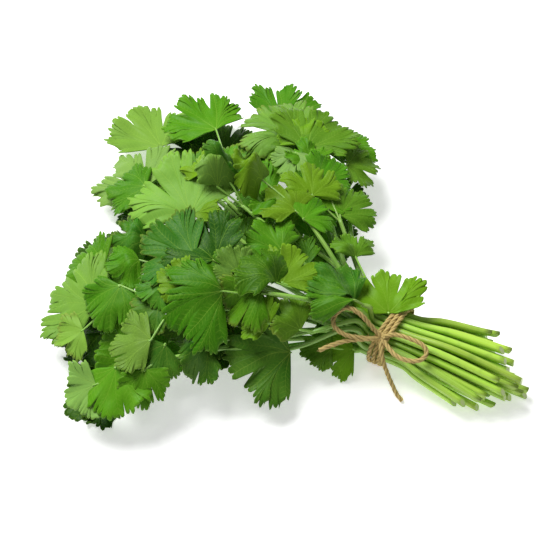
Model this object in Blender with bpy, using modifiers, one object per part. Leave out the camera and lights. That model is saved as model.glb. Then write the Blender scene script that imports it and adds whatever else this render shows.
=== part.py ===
"""A tied bunch of fresh herb on a table: leafy stems with toothed, three-lobed leaflets, held by a twine bow.

X runs along the bunch, with the cut ends at +X and the leafy head at -X. The table is Z = 0 and the origin is
the flat spot under the tie. Every leafy stem is laid on those below it, so that none of them meet.
"""

import math
import random

import bmesh
import bpy
import numpy as np
from mathutils import Vector

MM = 0.001

# Stalks, in millimetres: radii, how a fork stands back from its leaflets, and the first step from the tie
STALK_RADIUS_CUT = 1.9
STALK_RADIUS_TIE = 1.7
STALK_RADIUS_FORK = 1.1
FORK_SETBACK = 13.0
FORK_SHARE = 0.3
FORK_BELOW = 2.5
FIRST_STEP = 9.0
HELD_REACH = 4.5

# The flat stalk of a leaflet, which roots inside the end of the main stalk
BRANCH_HALF_WIDTH = 0.75
BRANCH_ROOT = 2.5
SHORT_BRANCH = 12.0

# How the stalks are packed at the tie, from the lowest row up
ROW_COUNTS = (5, 7, 8, 8, 7, 4)
STALK_SPACING = 4.05
TIE_HALF_LENGTH = 10.0
LOWEST_ROW_Z = 4.0

# Cut ends: their distance from the tie by place across the bundle, and how they spread, stray and lean
CUT_ACROSS = (-14.0, -11.0, -3.0, 0.0, 4.0, 8.0, 14.0)
CUT_REACH = (52.0, 61.0, 75.0, 79.0, 73.0, 62.0, 52.0)
CUT_SHORTER = 0.20
CUT_SPREAD = 1.65
CUT_STRAY = 1.0
CUT_LEAN = 0.03
CUT_ROW_STEP = 3.3

# Leaflets
BLADE_THICKNESS = 0.7
LARGE_BLADE = 32.0
LAYER_GAP = 0.45

# How a leaflet lies: how much of the head's fall it follows, and how its far side leans up per millimetre
FALL_FOLLOWED = 0.5
LEAN_UP = (-0.10, 0.21)

# How each leaflet is bent: the range that each draw comes from
BLADE_TILT = (-0.16, 0.14)
BLADE_ROLL = (-0.20, 0.20)
BLADE_CUP = (-0.10, 0.13)
BLADE_DROOP = (0.00, 0.16)
BLADE_WAVE = (0.6, 1.5)
WAVES_ROUND = 5.0
BLADE_WIDTH = (0.92, 1.12)
TOOTH_REACH = (0.95, 1.05)
TOOTH_TURN = (-1.5, 1.5)
SEEN_FROM_ABOVE = 0.97

# Twine
TWINE_RADIUS = 1.1
TWINE_GAP = 0.35
FLAT_SPOT_DEPTH = 0.25
CUTTER_WIDTH = 0.2
CUTTER_DEPTH = 0.02

SEED = 41

# Shares of its triangles that a leafy stem may keep once its leaflets are joined to it, tried in turn
KEPT_SHARES = (0.76, 0.82, 0.88, 0.94)

# Outline of a leaflet from margin to margin: degrees from the midrib, and reach as a share of its length
LARGE_OUTLINE = (
    (-80, 0.32), (-66, 0.70), (-58, 0.62), (-44, 0.88), (-24, 0.50), (-15, 0.88), (-9, 0.82), (0, 1.00),
    (9, 0.82), (15, 0.88), (24, 0.50), (44, 0.88), (58, 0.62), (66, 0.70), (80, 0.32),
)
SMALL_OUTLINE = (
    (-78, 0.36), (-60, 0.78), (-40, 0.84), (-24, 0.55), (-12, 0.88), (0, 0.98), (12, 0.88), (24, 0.55),
    (40, 0.84), (60, 0.78), (78, 0.36),
)
LARGE_RING = (-48, 0, 48)
SMALL_RING = (-32, 32)
RING_REACH = 0.4

# Height of the leafy head over the table, by distance from the tie and by turn away from its middle heading
HEAD_HEADING = 176.0
HEAD_DISTANCE = (0, 30, 70, 110, 150, 185, 215)
HEAD_HEIGHT = (27, 34, 50, 56, 44, 20, 8)
HEAD_TURN = (0, 25, 45, 60, 80)
HEAD_SHARE = (1.0, 0.95, 0.7, 0.4, 0.25)

# Leafy stems from the lowest up: share of the head's height, colour, leaflets (x, y, heading, length)
LEAFY_STEMS = (
    (0.10, "dark", ((-109, -48, 262, 23), (-128, -89, 232, 30), (-128, -88, 196, 28))),
    (0.12, "dark", ((-154, -56, 200, 30), (-145, -65, 236, 27), (-146, -46, 166, 26))),
    (0.12, "dark", ((-164, -18, 186, 29), (-154, -30, 216, 25), (-152, -4, 152, 27))),
    (0.12, "dark", ((-168, 32, 178, 27), (-160, 20, 208, 25), (-158, 46, 140, 29))),
    (0.10, "dark", ((-160, 80, 160, 33), (-150, 66, 192, 27), (-148, 88, 122, 30))),
    (0.10, "dark", ((-112, 100, 124, 31), (-120, 88, 160, 27), (-98, 92, 92, 29))),
    (0.10, "dark", ((-68, 74, 98, 29), (-80, 70, 142, 27), (-59, 50, 66, 23))),
    (0.12, "dark", ((-82, -32, 226, 26), (-71, -30, 262, 21), (-84, -30, 192, 27))),
    (0.12, "dark", ((-100, -42, 242, 23), (-94, -38, 282, 20), (-108, -54, 202, 27))),
    (0.30, "dark", ((-106, 22, 162, 29), (-96, 8, 202, 27), (-92, 36, 118, 27))),
    (0.50, "mid", ((-146, -32, 198, 30), (-136, -46, 228, 27), (-136, -16, 158, 27))),
    (0.50, "mid", ((-142, 44, 166, 31), (-134, 28, 198, 27), (-128, 56, 122, 29))),
    (0.55, "mid", ((-118, -72, 222, 28), (-105, -60, 264, 21))),
    (0.45, "yellow", ((-16, -16, 216, 20), (-27, -21, 206, 19))),
    (0.90, "pale", ((-158, -38, 176, 28), (-150, -60, 176, 37), (-150, -74, 226, 19))),
    (0.95, "mid", ((-120, -89, 285, 29), (-127, -100, 231, 20), (-105, -85, 293, 19), (-101, -70, 264, 19))),
    (0.80, "pale", ((-182, 69, 139, 43), (-169, 29, 145, 39))),
    (0.50, "mid", ((-106, 66, 142, 29), (-98, 52, 176, 27), (-90, 70, 98, 27))),
    (0.85, "olive", ((-103, 98, 170, 43), (-101, 91, 207, 23), (-122, 116, 101, 35))),
    (0.97, "mid", ((-139, -49, 263, 26), (-108, -72, 204, 26), (-113, -53, 233, 19))),
    (0.88, "blue", ((-139, -29, 227, 22), (-142, -16, 200, 24), (-115, -42, 228, 19))),
    (0.55, "mid", ((-106, -8, 182, 29), (-100, -22, 216, 27), (-96, 6, 146, 27))),
    (0.92, "pale", ((-167, 26, 190, 28), (-125, 5, 135, 43), (-126, 6, 77, 21))),
    (0.95, "mid", ((-152, 87, 151, 39), (-126, 25, 117, 19))),
    (0.92, "olive", ((-83, 91, 85, 25), (-73, 100, 70, 25), (-66, 89, 32, 23))),
    (0.96, "blue", ((-108, -22, 179, 36), (-97, -20, 153, 34))),
    (0.95, "blue", ((-115, 29, 106, 19), (-116, 22, 116, 19))),
    (0.97, "yellow", ((-93, 76, 271, 20), (-92, 86, 117, 24), (-90, 84, 92, 39))),
    (0.50, "mid", ((-76, 34, 150, 28), (-66, 36, 104, 24))),
    (0.92, "mid", ((-72, 64, 70, 23), (-62, 47, 90, 19), (-53, 48, 77, 27))),
    (0.96, "mid", ((-83, -24, 189, 20), (-103, -40, 176, 19))),
    (0.70, "dark", ((-44, -38, 216, 40), (-81, -60, 241, 19))),
    (0.97, "yellow", ((-69, 4, 151, 25), (-80, -23, 156, 19))),
    (0.95, "pale", ((-56, -38, 169, 19), (-42, -30, 164, 21))),
    (1.00, "yellow", ((-70, 47, 114, 26), (-67, 28, 77, 22), (-72, 30, 162, 25), (-97, 39, 185, 19))),
    (1.02, "mid", ((-84, -36, 225, 36), (-67, -25, 243, 26))),
    (1.02, "mid", ((-60, -14, 94, 28), (-62, -17, 167, 27))),
    (1.00, "yellow", ((-5, 3, 117, 29), (-34, 26, 130, 19))),
    (1.05, "blue", ((-22, -5, 158, 32), (-21, -7, 198, 31))),
)

COLOURS = {
    "dark": (0.055, 0.175, 0.030),
    "mid": (0.105, 0.330, 0.045),
    "blue": (0.080, 0.290, 0.075),
    "pale": (0.270, 0.500, 0.120),
    "yellow": (0.230, 0.440, 0.040),
    "olive": (0.160, 0.320, 0.055),
}
TWINE_COLOUR = (0.420, 0.250, 0.110)

# The knot and the bow: (x, y, z) points that the twine follows before it is laid over what is under it
KNOT_AT = (-3.5, -11.8, 26.2)
KNOT_RADII = (3.8, 3.0, 2.5)
LEFT_LOOP = (
    (-3.5, -11.8, 27.0), (-9, -11, 30.5), (-17, -11, 33), (-24, -12, 34), (-28.5, -16, 33),
    (-27, -20.5, 32), (-20, -21.5, 31), (-11, -17.5, 29.5), (-4, -12.5, 26.6),
)
LEFT_TAIL = ((-4, -12.2, 26), (-10, -17.5, 29), (-18, -22.5, 29.5), (-25, -28, 28), (-30, -32.5, 26))
RIGHT_LOOP = (
    (-3.2, -11.4, 27.0), (3, -9, 30), (11, -8.5, 31), (19, -9, 30.5), (22.5, -12, 28.5), (20, -16.5, 26.5),
    (12.5, -18.5, 25.5), (5.5, -17, 25.5), (-2.6, -12.4, 26.4),
)
RIGHT_TAIL = (
    (-3.3, -12.6, 26), (-0.5, -17.6, 24), (2.5, -20.8, 19), (6, -22.8, 13), (10, -24.6, 7), (14, -26.8, 2.8),
    (18, -28.5, 1.1),
)

# The turns of twine round the stalks: the sides of each one, its place along the bunch and how it leans
TURN_SIDES = 12
TURN_SLANTS = ((1.6, 0.16), (-0.9, 0.18), (-3.4, 0.20))

# Height map of everything laid so far, and how a path or a leaflet is raised over it
CELL = 1.0
CLOSE_ENOUGH = 0.02
PATH_ROUNDS = 80
BLADE_ROUNDS = 60
PACKED_REACH = 32.0
ROOT_CLEARANCE = 4.0
MAP_LOW = (-240.0, -170.0)
MAP_SHAPE = (350, 330)


def head_height(x, y):
    """Height of the leafy head's top over a point of the table."""
    distance = np.hypot(x, y)
    turn = np.abs((np.degrees(np.arctan2(y, x)) - HEAD_HEADING + 180) % 360 - 180)
    turn = np.where(np.asarray(x) > 0, 0.0, turn)
    share = np.interp(turn, HEAD_TURN, HEAD_SHARE)
    share = share + (1 - share) * np.clip(1 - distance / 60, 0, 1)
    return np.interp(distance, HEAD_DISTANCE, HEAD_HEIGHT) * share


def widened(heights, reach):
    """The highest value within this many cells of each cell."""
    wide = heights.copy()
    for axis in (0, 1):
        base = wide.copy()
        for step in range(1, reach + 1):
            for way in (-step, step):
                wide = np.maximum(wide, np.roll(base, way, axis))
    return wide


def read_map(heights, xy):
    cells = np.floor((xy - np.array(MAP_LOW)) / CELL).astype(int)
    cells = np.clip(cells, 0, np.array(MAP_SHAPE) - 1)
    return heights[cells[:, 0], cells[:, 1]]


def write_map(heights, points):
    cells = np.floor((points[:, :2] - np.array(MAP_LOW)) / CELL).astype(int)
    cells = np.clip(cells, 0, np.array(MAP_SHAPE) - 1)
    np.maximum.at(heights, (cells[:, 0], cells[:, 1]), points[:, 2])


def tube_samples(path, radii):
    """Points along the top of a tube, from side to side."""
    found = []
    for a, b, ra, rb in zip(path[:-1], path[1:], radii[:-1], radii[1:]):
        count = max(2, int(np.linalg.norm(b - a) / (0.6 * CELL)))
        share = np.linspace(0, 1, count)[:, None]
        centre = a + (b - a) * share
        radius = (ra + (rb - ra) * share)[:, 0]
        along = (b - a)[:2]
        side = np.array((-along[1], along[0])) / max(np.linalg.norm(along), 1e-6)
        for across in (-1.0, -0.6, 0.0, 0.6, 1.0):
            line = centre.copy()
            line[:, :2] += side * radius[:, None] * across
            line[:, 2] += radius * math.sqrt(1 - 0.9 * across * across)
            found.append(line)
    return np.concatenate(found)


def lift_path(path, radii, ground, held):
    """Raises a tube's free points until it clears the ground everywhere. Those before held stay."""
    path = path.copy()
    for _ in range(PATH_ROUNDS):
        lifts = np.zeros(len(path))
        for i in range(len(path) - 1):
            reach = np.linalg.norm(path[i + 1] - path[i])
            share = np.linspace(0, 1, max(4, int(reach / CELL)))
            if i < held:
                share = share[share > min(HELD_REACH / reach, 0.6)]
            line = path[i] + (path[i + 1] - path[i]) * share[:, None]
            radius = radii[i] + (radii[i + 1] - radii[i]) * share
            short = read_map(ground, line[:, :2]) + LAYER_GAP + radius - line[:, 2]
            need = float(short.max())
            if need > CLOSE_ENOUGH:
                at = share[short.argmax()]
                lifts[i] = max(lifts[i], need * (1 - at) + 0.1)
                lifts[i + 1] = max(lifts[i + 1], need * at + 0.1)
        lifts[:held] = 0
        path[:, 2] += lifts
        if not lifts.any():
            break
    return path


def triangle_samples(points, faces):
    """Points spread over each triangle, with the triangle that each is on."""
    spread, owner = [], []
    for number, face in enumerate(faces):
        a, b, c = points[list(face)]
        size = max(np.linalg.norm(b - a), np.linalg.norm(c - a), np.linalg.norm(c - b))
        steps = max(2, int(size / (0.7 * CELL)))
        for i in range(steps + 1):
            j = np.arange(steps + 1 - i)
            u, v = i / steps, j / steps
            spread.append(a + (b - a) * u + (c - a) * v[:, None])
            owner.append(np.full(len(j), number))
    return np.concatenate(spread), np.concatenate(owner)


def blade_sheet(leaflet, draw, mids):
    """A leaflet in the plane of its base: its points, as (along, across), and triangles.

    The first points are pairs down its flat stalk: the root, any in between and the base.
    """
    length = leaflet[3]
    outline, ring = (LARGE_OUTLINE, LARGE_RING) if length >= LARGE_BLADE else (SMALL_OUTLINE, SMALL_RING)
    width = draw.uniform(*BLADE_WIDTH)
    points = [(0.0, side * BRANCH_HALF_WIDTH) for _ in range(mids + 2) for side in (-1, 1)]
    right, left = len(points) - 2, len(points) - 1
    first = len(points)
    for angle, reach in outline:
        reach *= length * draw.uniform(*TOOTH_REACH)
        turn = math.radians(angle + draw.uniform(*TOOTH_TURN)) * width
        points.append((reach * math.cos(turn), reach * math.sin(turn)))
    inner = len(points)
    for angle in ring:
        turn = math.radians(angle) * width
        points.append((length * RING_REACH * math.cos(turn), length * RING_REACH * math.sin(turn)))
    faces = []
    for k in range(0, right, 2):
        faces += [(k, k + 2, k + 3), (k, k + 3, k + 1)]
    faces.append((right, first, inner))
    at = 0
    for k in range(len(outline) - 1):
        middle = (outline[k][0] + outline[k + 1][0]) / 2
        while at + 1 < len(ring) and middle > (ring[at] + ring[at + 1]) / 2:
            faces.append((inner + at, first + k, inner + at + 1))
            at += 1
        faces.append((inner + at, first + k, first + k + 1))
    half = len(ring) // 2
    for k in range(len(ring) - 1):
        faces.append((right if k < half else left, inner + k, inner + k + 1))
    faces.append((right, inner + half, left))
    faces.append((left, inner + len(ring) - 1, inner - 1))
    return np.array(points), faces


def blade_shape(leaflet, level, draw, stalk):
    """A leaflet as it grows: its points, cupped and tilted over the head's height, and its triangles."""
    x, y, heading, length = leaflet
    back = stalk[-2] - stalk[-1]
    root = stalk[-1] + back / np.linalg.norm(back) * BRANCH_ROOT
    reach_out = math.hypot(x - root[0], y - root[1])
    mids = 0 if reach_out < SHORT_BRANCH else 1
    flat, faces = blade_sheet(leaflet, draw, mids)
    turn = math.radians(heading)
    along, across = flat[:, 0], flat[:, 1]
    tilt = draw.uniform(*BLADE_TILT)
    roll = draw.uniform(*BLADE_ROLL)
    cup = draw.uniform(*BLADE_CUP)
    droop = draw.uniform(*BLADE_DROOP)
    wave = draw.uniform(*BLADE_WAVE)
    phase = draw.uniform(0, 2 * math.pi)
    reach = np.hypot(along, across) / length
    bent = wave * reach * reach * np.sin(WAVES_ROUND * np.arctan2(across, along) + phase)
    px = x + (along * math.cos(turn) - across * math.sin(turn)) * SEEN_FROM_ABOVE
    py = y + (along * math.sin(turn) + across * math.cos(turn)) * SEEN_FROM_ABOVE
    rise = FALL_FOLLOWED * (head_height(px, py) - head_height(x, y))
    pz = level * (head_height(x, y) + rise) + LEAN_UP[0] * (px - x) + LEAN_UP[1] * (py - y)
    pz += tilt * along + roll * across + bent
    pz += cup * across * across / length * 2 - droop * along * along / length
    points = np.stack([px, py, np.maximum(pz, BLADE_THICKNESS / 2)], axis=1)
    base = points[2 * mids + 2:2 * mids + 4].mean(axis=0)
    out = (base - root)[:2] / max(reach_out, 1e-6)
    side = np.array((-out[1], out[0], 0.0)) * BRANCH_HALF_WIDTH
    for k in range(mids + 1):
        centre = root + (base - root) * k / (mids + 1)
        points[2 * k] = centre - side
        points[2 * k + 1] = centre + side
    return points, faces


def lay_blade(points, faces, ground):
    """Raises a leaflet's points until it clears the ground everywhere. Its root stays in the stalk."""
    points = points.copy()
    table = np.asarray(faces)
    rooted = (table < 2).any(axis=1)
    half = BLADE_THICKNESS / 2
    for _ in range(BLADE_ROUNDS):
        samples, owner = triangle_samples(points, faces)
        short = read_map(ground, samples[:, :2]) + LAYER_GAP + half - samples[:, 2]
        short[rooted[owner] & (np.hypot(*(samples - points[0])[:, :2].T) < ROOT_CLEARANCE)] = 0
        need = np.zeros(len(faces))
        np.maximum.at(need, owner, short)
        if need.max() < CLOSE_ENOUGH:
            break
        lifts = np.zeros(len(points))
        for corner in range(3):
            np.maximum.at(lifts, table[:, corner], need * 0.6 + 0.05 * (need > 0))
        lifts[:2] = 0
        points[:, 2] += lifts
    return points


def curve_between(start, start_way, end, end_way, shares):
    """Points of a smooth path in plan between two places, with the way it runs at each."""
    start, end = np.array(start, float), np.array(end, float)
    reach = np.linalg.norm(end - start) * 0.9
    t = np.asarray(shares)[:, None]
    h00, h10 = 2 * t**3 - 3 * t**2 + 1, t**3 - 2 * t**2 + t
    h01, h11 = -2 * t**3 + 3 * t**2, t**3 - t**2
    leaving, arriving = reach * np.array(start_way), reach * np.array(end_way)
    return h00 * start + h10 * leaving + h01 * end + h11 * arriving


def tie_slots():
    """Where each leafy stem passes through the tie: its row, and its place across the row from the front."""
    slots = {}
    first = 0
    for row, count in enumerate(ROW_COUNTS):
        members = range(first, first + count)
        first += count

        def heading(number):
            leaves = LEAFY_STEMS[number][2]
            return math.atan2(sum(v[1] for v in leaves), -sum(v[0] for v in leaves))

        for place, number in enumerate(sorted(members, key=heading)):
            slots[number] = (row, (place - (count - 1) / 2) * STALK_SPACING)
    return slots


def stalk_path(number, row, across, draw):
    """A stalk's centreline from its cut end through the tie to where it forks, before it is laid."""
    level, _, leaves = LEAFY_STEMS[number]
    tie_z = LOWEST_ROW_Z + row * STALK_SPACING
    length = float(np.interp(across, CUT_ACROSS, CUT_REACH)) * draw.uniform(1 - CUT_SHORTER, 1)
    cut_y = across * CUT_SPREAD + draw.uniform(-CUT_STRAY, CUT_STRAY) + CUT_LEAN * length
    cut_z = STALK_RADIUS_CUT + row * CUT_ROW_STEP
    outward = [
        (length, cut_y, cut_z),
        (length * 0.50, across + (cut_y - across) * 0.42, cut_z + (tie_z - cut_z) * 0.55),
        (TIE_HALF_LENGTH, across, tie_z),
        (-TIE_HALF_LENGTH, across, tie_z),
    ]
    bases = np.array([(v[0], v[1]) for v in leaves], float)
    middle = bases.mean(axis=0)
    away = middle - np.array((-TIE_HALF_LENGTH, across))
    span = np.linalg.norm(away)
    away /= max(span, 1e-6)
    fork = middle - away * min(FORK_SETBACK, span * FORK_SHARE)
    count = 3 if span < 40 else 4 if span < 100 else 5
    share = np.concatenate([[min(FIRST_STEP / span, 0.4)], np.linspace(0, 1, count)[1:]])
    plan = curve_between((-TIE_HALF_LENGTH, across), (-1.0, 0.0), fork, away, share)
    fork_z = max(level * float(head_height(*fork)) - FORK_BELOW, STALK_RADIUS_FORK)
    heights = tie_z + (fork_z - tie_z) * (3 * share**2 - 2 * share**3)
    rise = [(*p, z) for p, z in zip(plan, heights)]
    path = np.array(outward + rise)
    radii = [STALK_RADIUS_CUT, STALK_RADIUS_CUT, STALK_RADIUS_TIE, STALK_RADIUS_TIE]
    radii += list(STALK_RADIUS_TIE + (STALK_RADIUS_FORK - STALK_RADIUS_TIE) * share)
    return path, np.array(radii)


def lay_stalk(path, radii, ground):
    """Lays both free ends of a stalk, which the tie holds in the middle."""
    tie = 3
    head = lift_path(path[tie:], radii[tie:], ground, 1)
    tail = lift_path(path[:tie][::-1], radii[:tie][::-1], ground, 1)[::-1]
    return np.concatenate([tail, head])


def turn_path(slots, offset, slant):
    """One turn of the twine round the stalks: a loop that clears them all, leaning along the bunch."""
    centres = [(across, LOWEST_ROW_Z + row * STALK_SPACING) for row, across in slots.values()]
    clear = STALK_RADIUS_TIE + TWINE_GAP + TWINE_RADIUS
    lines = []
    for k in range(TURN_SIDES):
        turn = 2 * math.pi * k / TURN_SIDES
        way = (math.cos(turn), math.sin(turn))
        lines.append((way, max(c[0] * way[0] + c[1] * way[1] for c in centres) + clear))
    found = []
    lowest = TWINE_RADIUS - FLAT_SPOT_DEPTH
    for (a, da), (b, db) in zip(lines, lines[1:] + lines[:1]):
        det = a[0] * b[1] - a[1] * b[0]
        y = (da * b[1] - db * a[1]) / det
        z = (a[0] * db - b[0] * da) / det
        found.append((offset + slant * y, y, max(z, lowest)))
    return found


def band_heights(slots):
    """Height map of the turns of the twine, which a leaflet near the tie lies over."""
    turns = np.full(MAP_SHAPE, -LAYER_GAP)
    for slant in TURN_SLANTS:
        path = turn_path(slots, *slant)
        write_map(turns, tube_samples(np.array(path + path[:1]), np.full(len(path) + 1, TWINE_RADIUS)))
    return widened(turns, 1)


def lay_bow(heights, last_stalk, last_radii):
    """Lays the loops and tails of the bow, which the last stem's leaflets then hang over."""
    ground = heights.copy()
    write_map(ground, tube_samples(last_stalk, last_radii))
    ground = widened(ground, 2)
    routes = []
    for route in (LEFT_LOOP, LEFT_TAIL, RIGHT_LOOP, RIGHT_TAIL):
        path = np.array(route, float)
        radii = np.full(len(path), TWINE_RADIUS)
        path = lift_path(path, radii, ground, 1)
        write_map(heights, tube_samples(path, radii))
        routes.append(path)
    return routes


def plan_bunch():
    """Lays every leafy stem on those below it: their shapes, their places in the tie and the bow's routes."""
    heights = np.full(MAP_SHAPE, -LAYER_GAP)
    slots = tie_slots()
    side = [np.arange(count) * CELL + low for count, low in zip(MAP_SHAPE, MAP_LOW)]
    packed = (side[0][:, None] > 0) | (np.hypot(side[0][:, None], side[1][None, :]) < PACKED_REACH)
    stems = []
    bow = []
    turns = band_heights(slots)
    for number, (level, colour, leaves) in enumerate(LEAFY_STEMS):
        draw = random.Random(SEED * 1000 + number)
        row, across = slots[number]
        near = widened(heights, 1)
        wide = np.where(packed, near, widened(heights, 2))
        path, radii = stalk_path(number, row, across, draw)
        path = lay_stalk(path, radii, wide)
        if number == len(LEAFY_STEMS) - 1:
            bow = lay_bow(heights, path, radii)
            near = widened(heights, 1)
        near = np.maximum(near, turns)
        blades = []
        for leaflet in leaves:
            shape, faces = blade_shape(leaflet, level, draw, path)
            blades.append((lay_blade(shape, faces, near), faces))
        write_map(heights, tube_samples(path, radii))
        for shape, faces in blades:
            samples, _ = triangle_samples(shape, faces)
            samples[:, 2] += BLADE_THICKNESS / 2
            write_map(heights, samples)
        stems.append((colour, (path, radii), blades))
    return stems, slots, bow


def material(name, colour, roughness):
    made = bpy.data.materials.new(name)
    made.use_nodes = True
    shader = made.node_tree.nodes["Principled BSDF"]
    shader.inputs["Base Color"].default_value = (*colour, 1.0)
    shader.inputs["Roughness"].default_value = roughness
    shader.inputs["Metallic"].default_value = 0.0
    made.diffuse_color = (*colour, 1.0)
    return made


def mesh_object(name, mesh, home):
    obj = bpy.data.objects.new(name, mesh)
    home.objects.link(obj)
    return obj


def tube(name, path, radii, sides, home, closed=False):
    """A round tube along the points, closed at its ends unless it is a ring."""
    curve = bpy.data.curves.new(name, "CURVE")
    curve.dimensions = "3D"
    curve.bevel_depth = MM
    curve.bevel_resolution = sides
    curve.use_fill_caps = not closed
    curve.twist_mode = "MINIMUM"
    line = curve.splines.new("POLY")
    line.points.add(len(path) - 1)
    for point, place, radius in zip(line.points, path, radii):
        point.co = (*(float(v) * MM for v in place), 1.0)
        point.radius = float(radius)
    line.use_cyclic_u = closed
    helper = bpy.data.objects.new(name, curve)
    home.objects.link(helper)
    bpy.context.view_layer.update()
    mesh = bpy.data.meshes.new_from_object(helper.evaluated_get(bpy.context.evaluated_depsgraph_get()))
    bpy.data.objects.remove(helper)
    bpy.data.curves.remove(curve)
    shape = bmesh.new()
    shape.from_mesh(mesh)
    bmesh.ops.remove_doubles(shape, verts=shape.verts, dist=MM * 0.001)
    bmesh.ops.recalc_face_normals(shape, faces=shape.faces)
    shape.to_mesh(mesh)
    shape.free()
    return mesh_object(name, mesh, home)


def blade(name, points, faces, home):
    """A leaflet of even thickness, with its two faces alike."""
    shape = bmesh.new()
    corners = [shape.verts.new(Vector(p) * MM) for p in points]
    for face in faces:
        shape.faces.new([corners[i] for i in face])
    bmesh.ops.recalc_face_normals(shape, faces=shape.faces)
    mesh = bpy.data.meshes.new(name)
    shape.to_mesh(mesh)
    shape.free()
    obj = mesh_object(name, mesh, home)
    thick = obj.modifiers.new("thickness", "SOLIDIFY")
    thick.thickness = BLADE_THICKNESS * MM
    thick.offset = 0.0
    bpy.context.view_layer.update()
    obj.data = bpy.data.meshes.new_from_object(obj.evaluated_get(bpy.context.evaluated_depsgraph_get()))
    obj.modifiers.clear()
    bpy.data.meshes.remove(mesh)
    return obj


def keep_largest(mesh):
    """Drops the scraps and sealed hollows that fusing left: every part but the one with the most faces."""
    shape = bmesh.new()
    shape.from_mesh(mesh)
    seen = set()
    parts = []
    for first in shape.faces:
        if first in seen:
            continue
        part, waiting = [], [first]
        seen.add(first)
        while waiting:
            face = waiting.pop()
            part.append(face)
            for edge in face.edges:
                if len(edge.link_faces) != 2:
                    continue
                for other in edge.link_faces:
                    if other not in seen:
                        seen.add(other)
                        waiting.append(other)
        parts.append(part)
    parts.sort(key=len)
    bmesh.ops.delete(shape, geom=[face for part in parts[:-1] for face in part], context="FACES")
    shape.to_mesh(mesh)
    shape.free()


def fuse(base, others, operation="UNION"):
    """Joins the other objects to the base with one Boolean, applies it and removes them."""
    group = bpy.data.collections.new(base.name + "_repeats")
    bpy.context.scene.collection.children.link(group)
    for other in others:
        for home in other.users_collection:
            home.objects.unlink(other)
        group.objects.link(other)
    joint = base.modifiers.new("fuse", "BOOLEAN")
    joint.operation = operation
    joint.operand_type = "COLLECTION"
    joint.collection = group
    joint.solver = "MANIFOLD"
    bpy.context.view_layer.update()
    old = base.data
    base.data = bpy.data.meshes.new_from_object(base.evaluated_get(bpy.context.evaluated_depsgraph_get()))
    base.modifiers.clear()
    bpy.data.meshes.remove(old)
    for other in others:
        bpy.data.meshes.remove(other.data)
    bpy.data.collections.remove(group)
    keep_largest(base.data)


def is_closed(mesh):
    """Whether every edge has two faces and no two faces stand on the same three corners."""
    shape = bmesh.new()
    shape.from_mesh(mesh)
    paired = all(len(edge.link_faces) == 2 for edge in shape.edges)
    fans = all(vert.is_manifold for vert in shape.verts)
    corners = {frozenset(vert.index for vert in face.verts) for face in shape.faces}
    single = len(corners) == len(shape.faces)
    shape.free()
    return paired and fans and single


def thin_out(obj):
    """Collapses the short edges that fusing left, as far as the solid stays closed."""
    for share in KEPT_SHARES:
        fewer = obj.modifiers.new("fewer", "DECIMATE")
        fewer.ratio = share
        bpy.context.view_layer.update()
        mesh = bpy.data.meshes.new_from_object(obj.evaluated_get(bpy.context.evaluated_depsgraph_get()))
        obj.modifiers.clear()
        if is_closed(mesh):
            old = obj.data
            obj.data = mesh
            bpy.data.meshes.remove(old)
            return
        bpy.data.meshes.remove(mesh)


def paint(obj, made):
    obj.data.materials.clear()
    obj.data.materials.append(made)


def leafy_stem(number, stem, home, made):
    """One leafy stem: its stalk and its leaflets grown together."""
    _, (path, radii), blades = stem
    obj = tube(f"leafy_stem_{number + 1:02d}", path, radii, 1, home)
    names = [f"leaflet_{number}_{k}" for k in range(len(blades))]
    fuse(obj, [blade(name, *shape, home) for name, shape in zip(names, blades)])
    thin_out(obj)
    paint(obj, made)
    return obj


def twine(slots, bow, home, made):
    """The twine: its turns round the stalks, the knot, two loops of the bow and two tails."""
    turns = [turn_path(slots, *slant) for slant in TURN_SLANTS]
    rings = [
        tube(f"turn_{k}", path, [TWINE_RADIUS] * len(path), 1, home, closed=True)
        for k, path in enumerate(turns)
    ]
    obj = rings[0]
    obj.name = "twine_tie"
    shape = bmesh.new()
    bmesh.ops.create_uvsphere(shape, u_segments=10, v_segments=7, radius=1.0)
    for corner in shape.verts:
        corner.co = Vector(c * r + k for c, r, k in zip(corner.co, KNOT_RADII, KNOT_AT)) * MM
    mesh = bpy.data.meshes.new("knot")
    shape.to_mesh(mesh)
    shape.free()
    parts = rings[1:] + [mesh_object("knot", mesh, home)]
    for name, path in zip(("left_loop", "left_tail", "right_loop", "right_tail"), bow):
        parts.append(tube(name, path, np.full(len(path), TWINE_RADIUS), 1, home))
    fuse(obj, parts)
    below = bmesh.new()
    bmesh.ops.create_cube(below, size=1.0)
    for corner in below.verts:
        x, y, z = corner.co
        corner.co = Vector((x * CUTTER_WIDTH, y * CUTTER_WIDTH, (z - 0.5) * CUTTER_DEPTH))
    mesh = bpy.data.meshes.new("table_cut")
    below.to_mesh(mesh)
    below.free()
    fuse(obj, [mesh_object("table_cut", mesh, home)], "DIFFERENCE")
    paint(obj, made)
    return obj


def main():
    for obj in list(bpy.data.objects):
        bpy.data.objects.remove(obj)
    home = bpy.data.collections.new("herb_bunch")
    bpy.context.scene.collection.children.link(home)
    stems, slots, bow = plan_bunch()
    paints = {name: material("leaf_" + name, colour, 0.5) for name, colour in COLOURS.items()}
    for number, stem in enumerate(stems):
        leafy_stem(number, stem, home, paints[stem[0]])
    twine(slots, bow, home, material("jute_twine", TWINE_COLOUR, 0.9))


main()
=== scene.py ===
"""A tied bunch of fresh herb lying on a table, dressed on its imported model.

Leafy stems with toothed leaflets whose veins spread like fingers, ribbed stalks and a bow of jute twine.
X runs along the bunch with the cut ends at +X, and Z = 0 is the table. Sizes in tables are in millimetres.
"""

import math
import random

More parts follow.
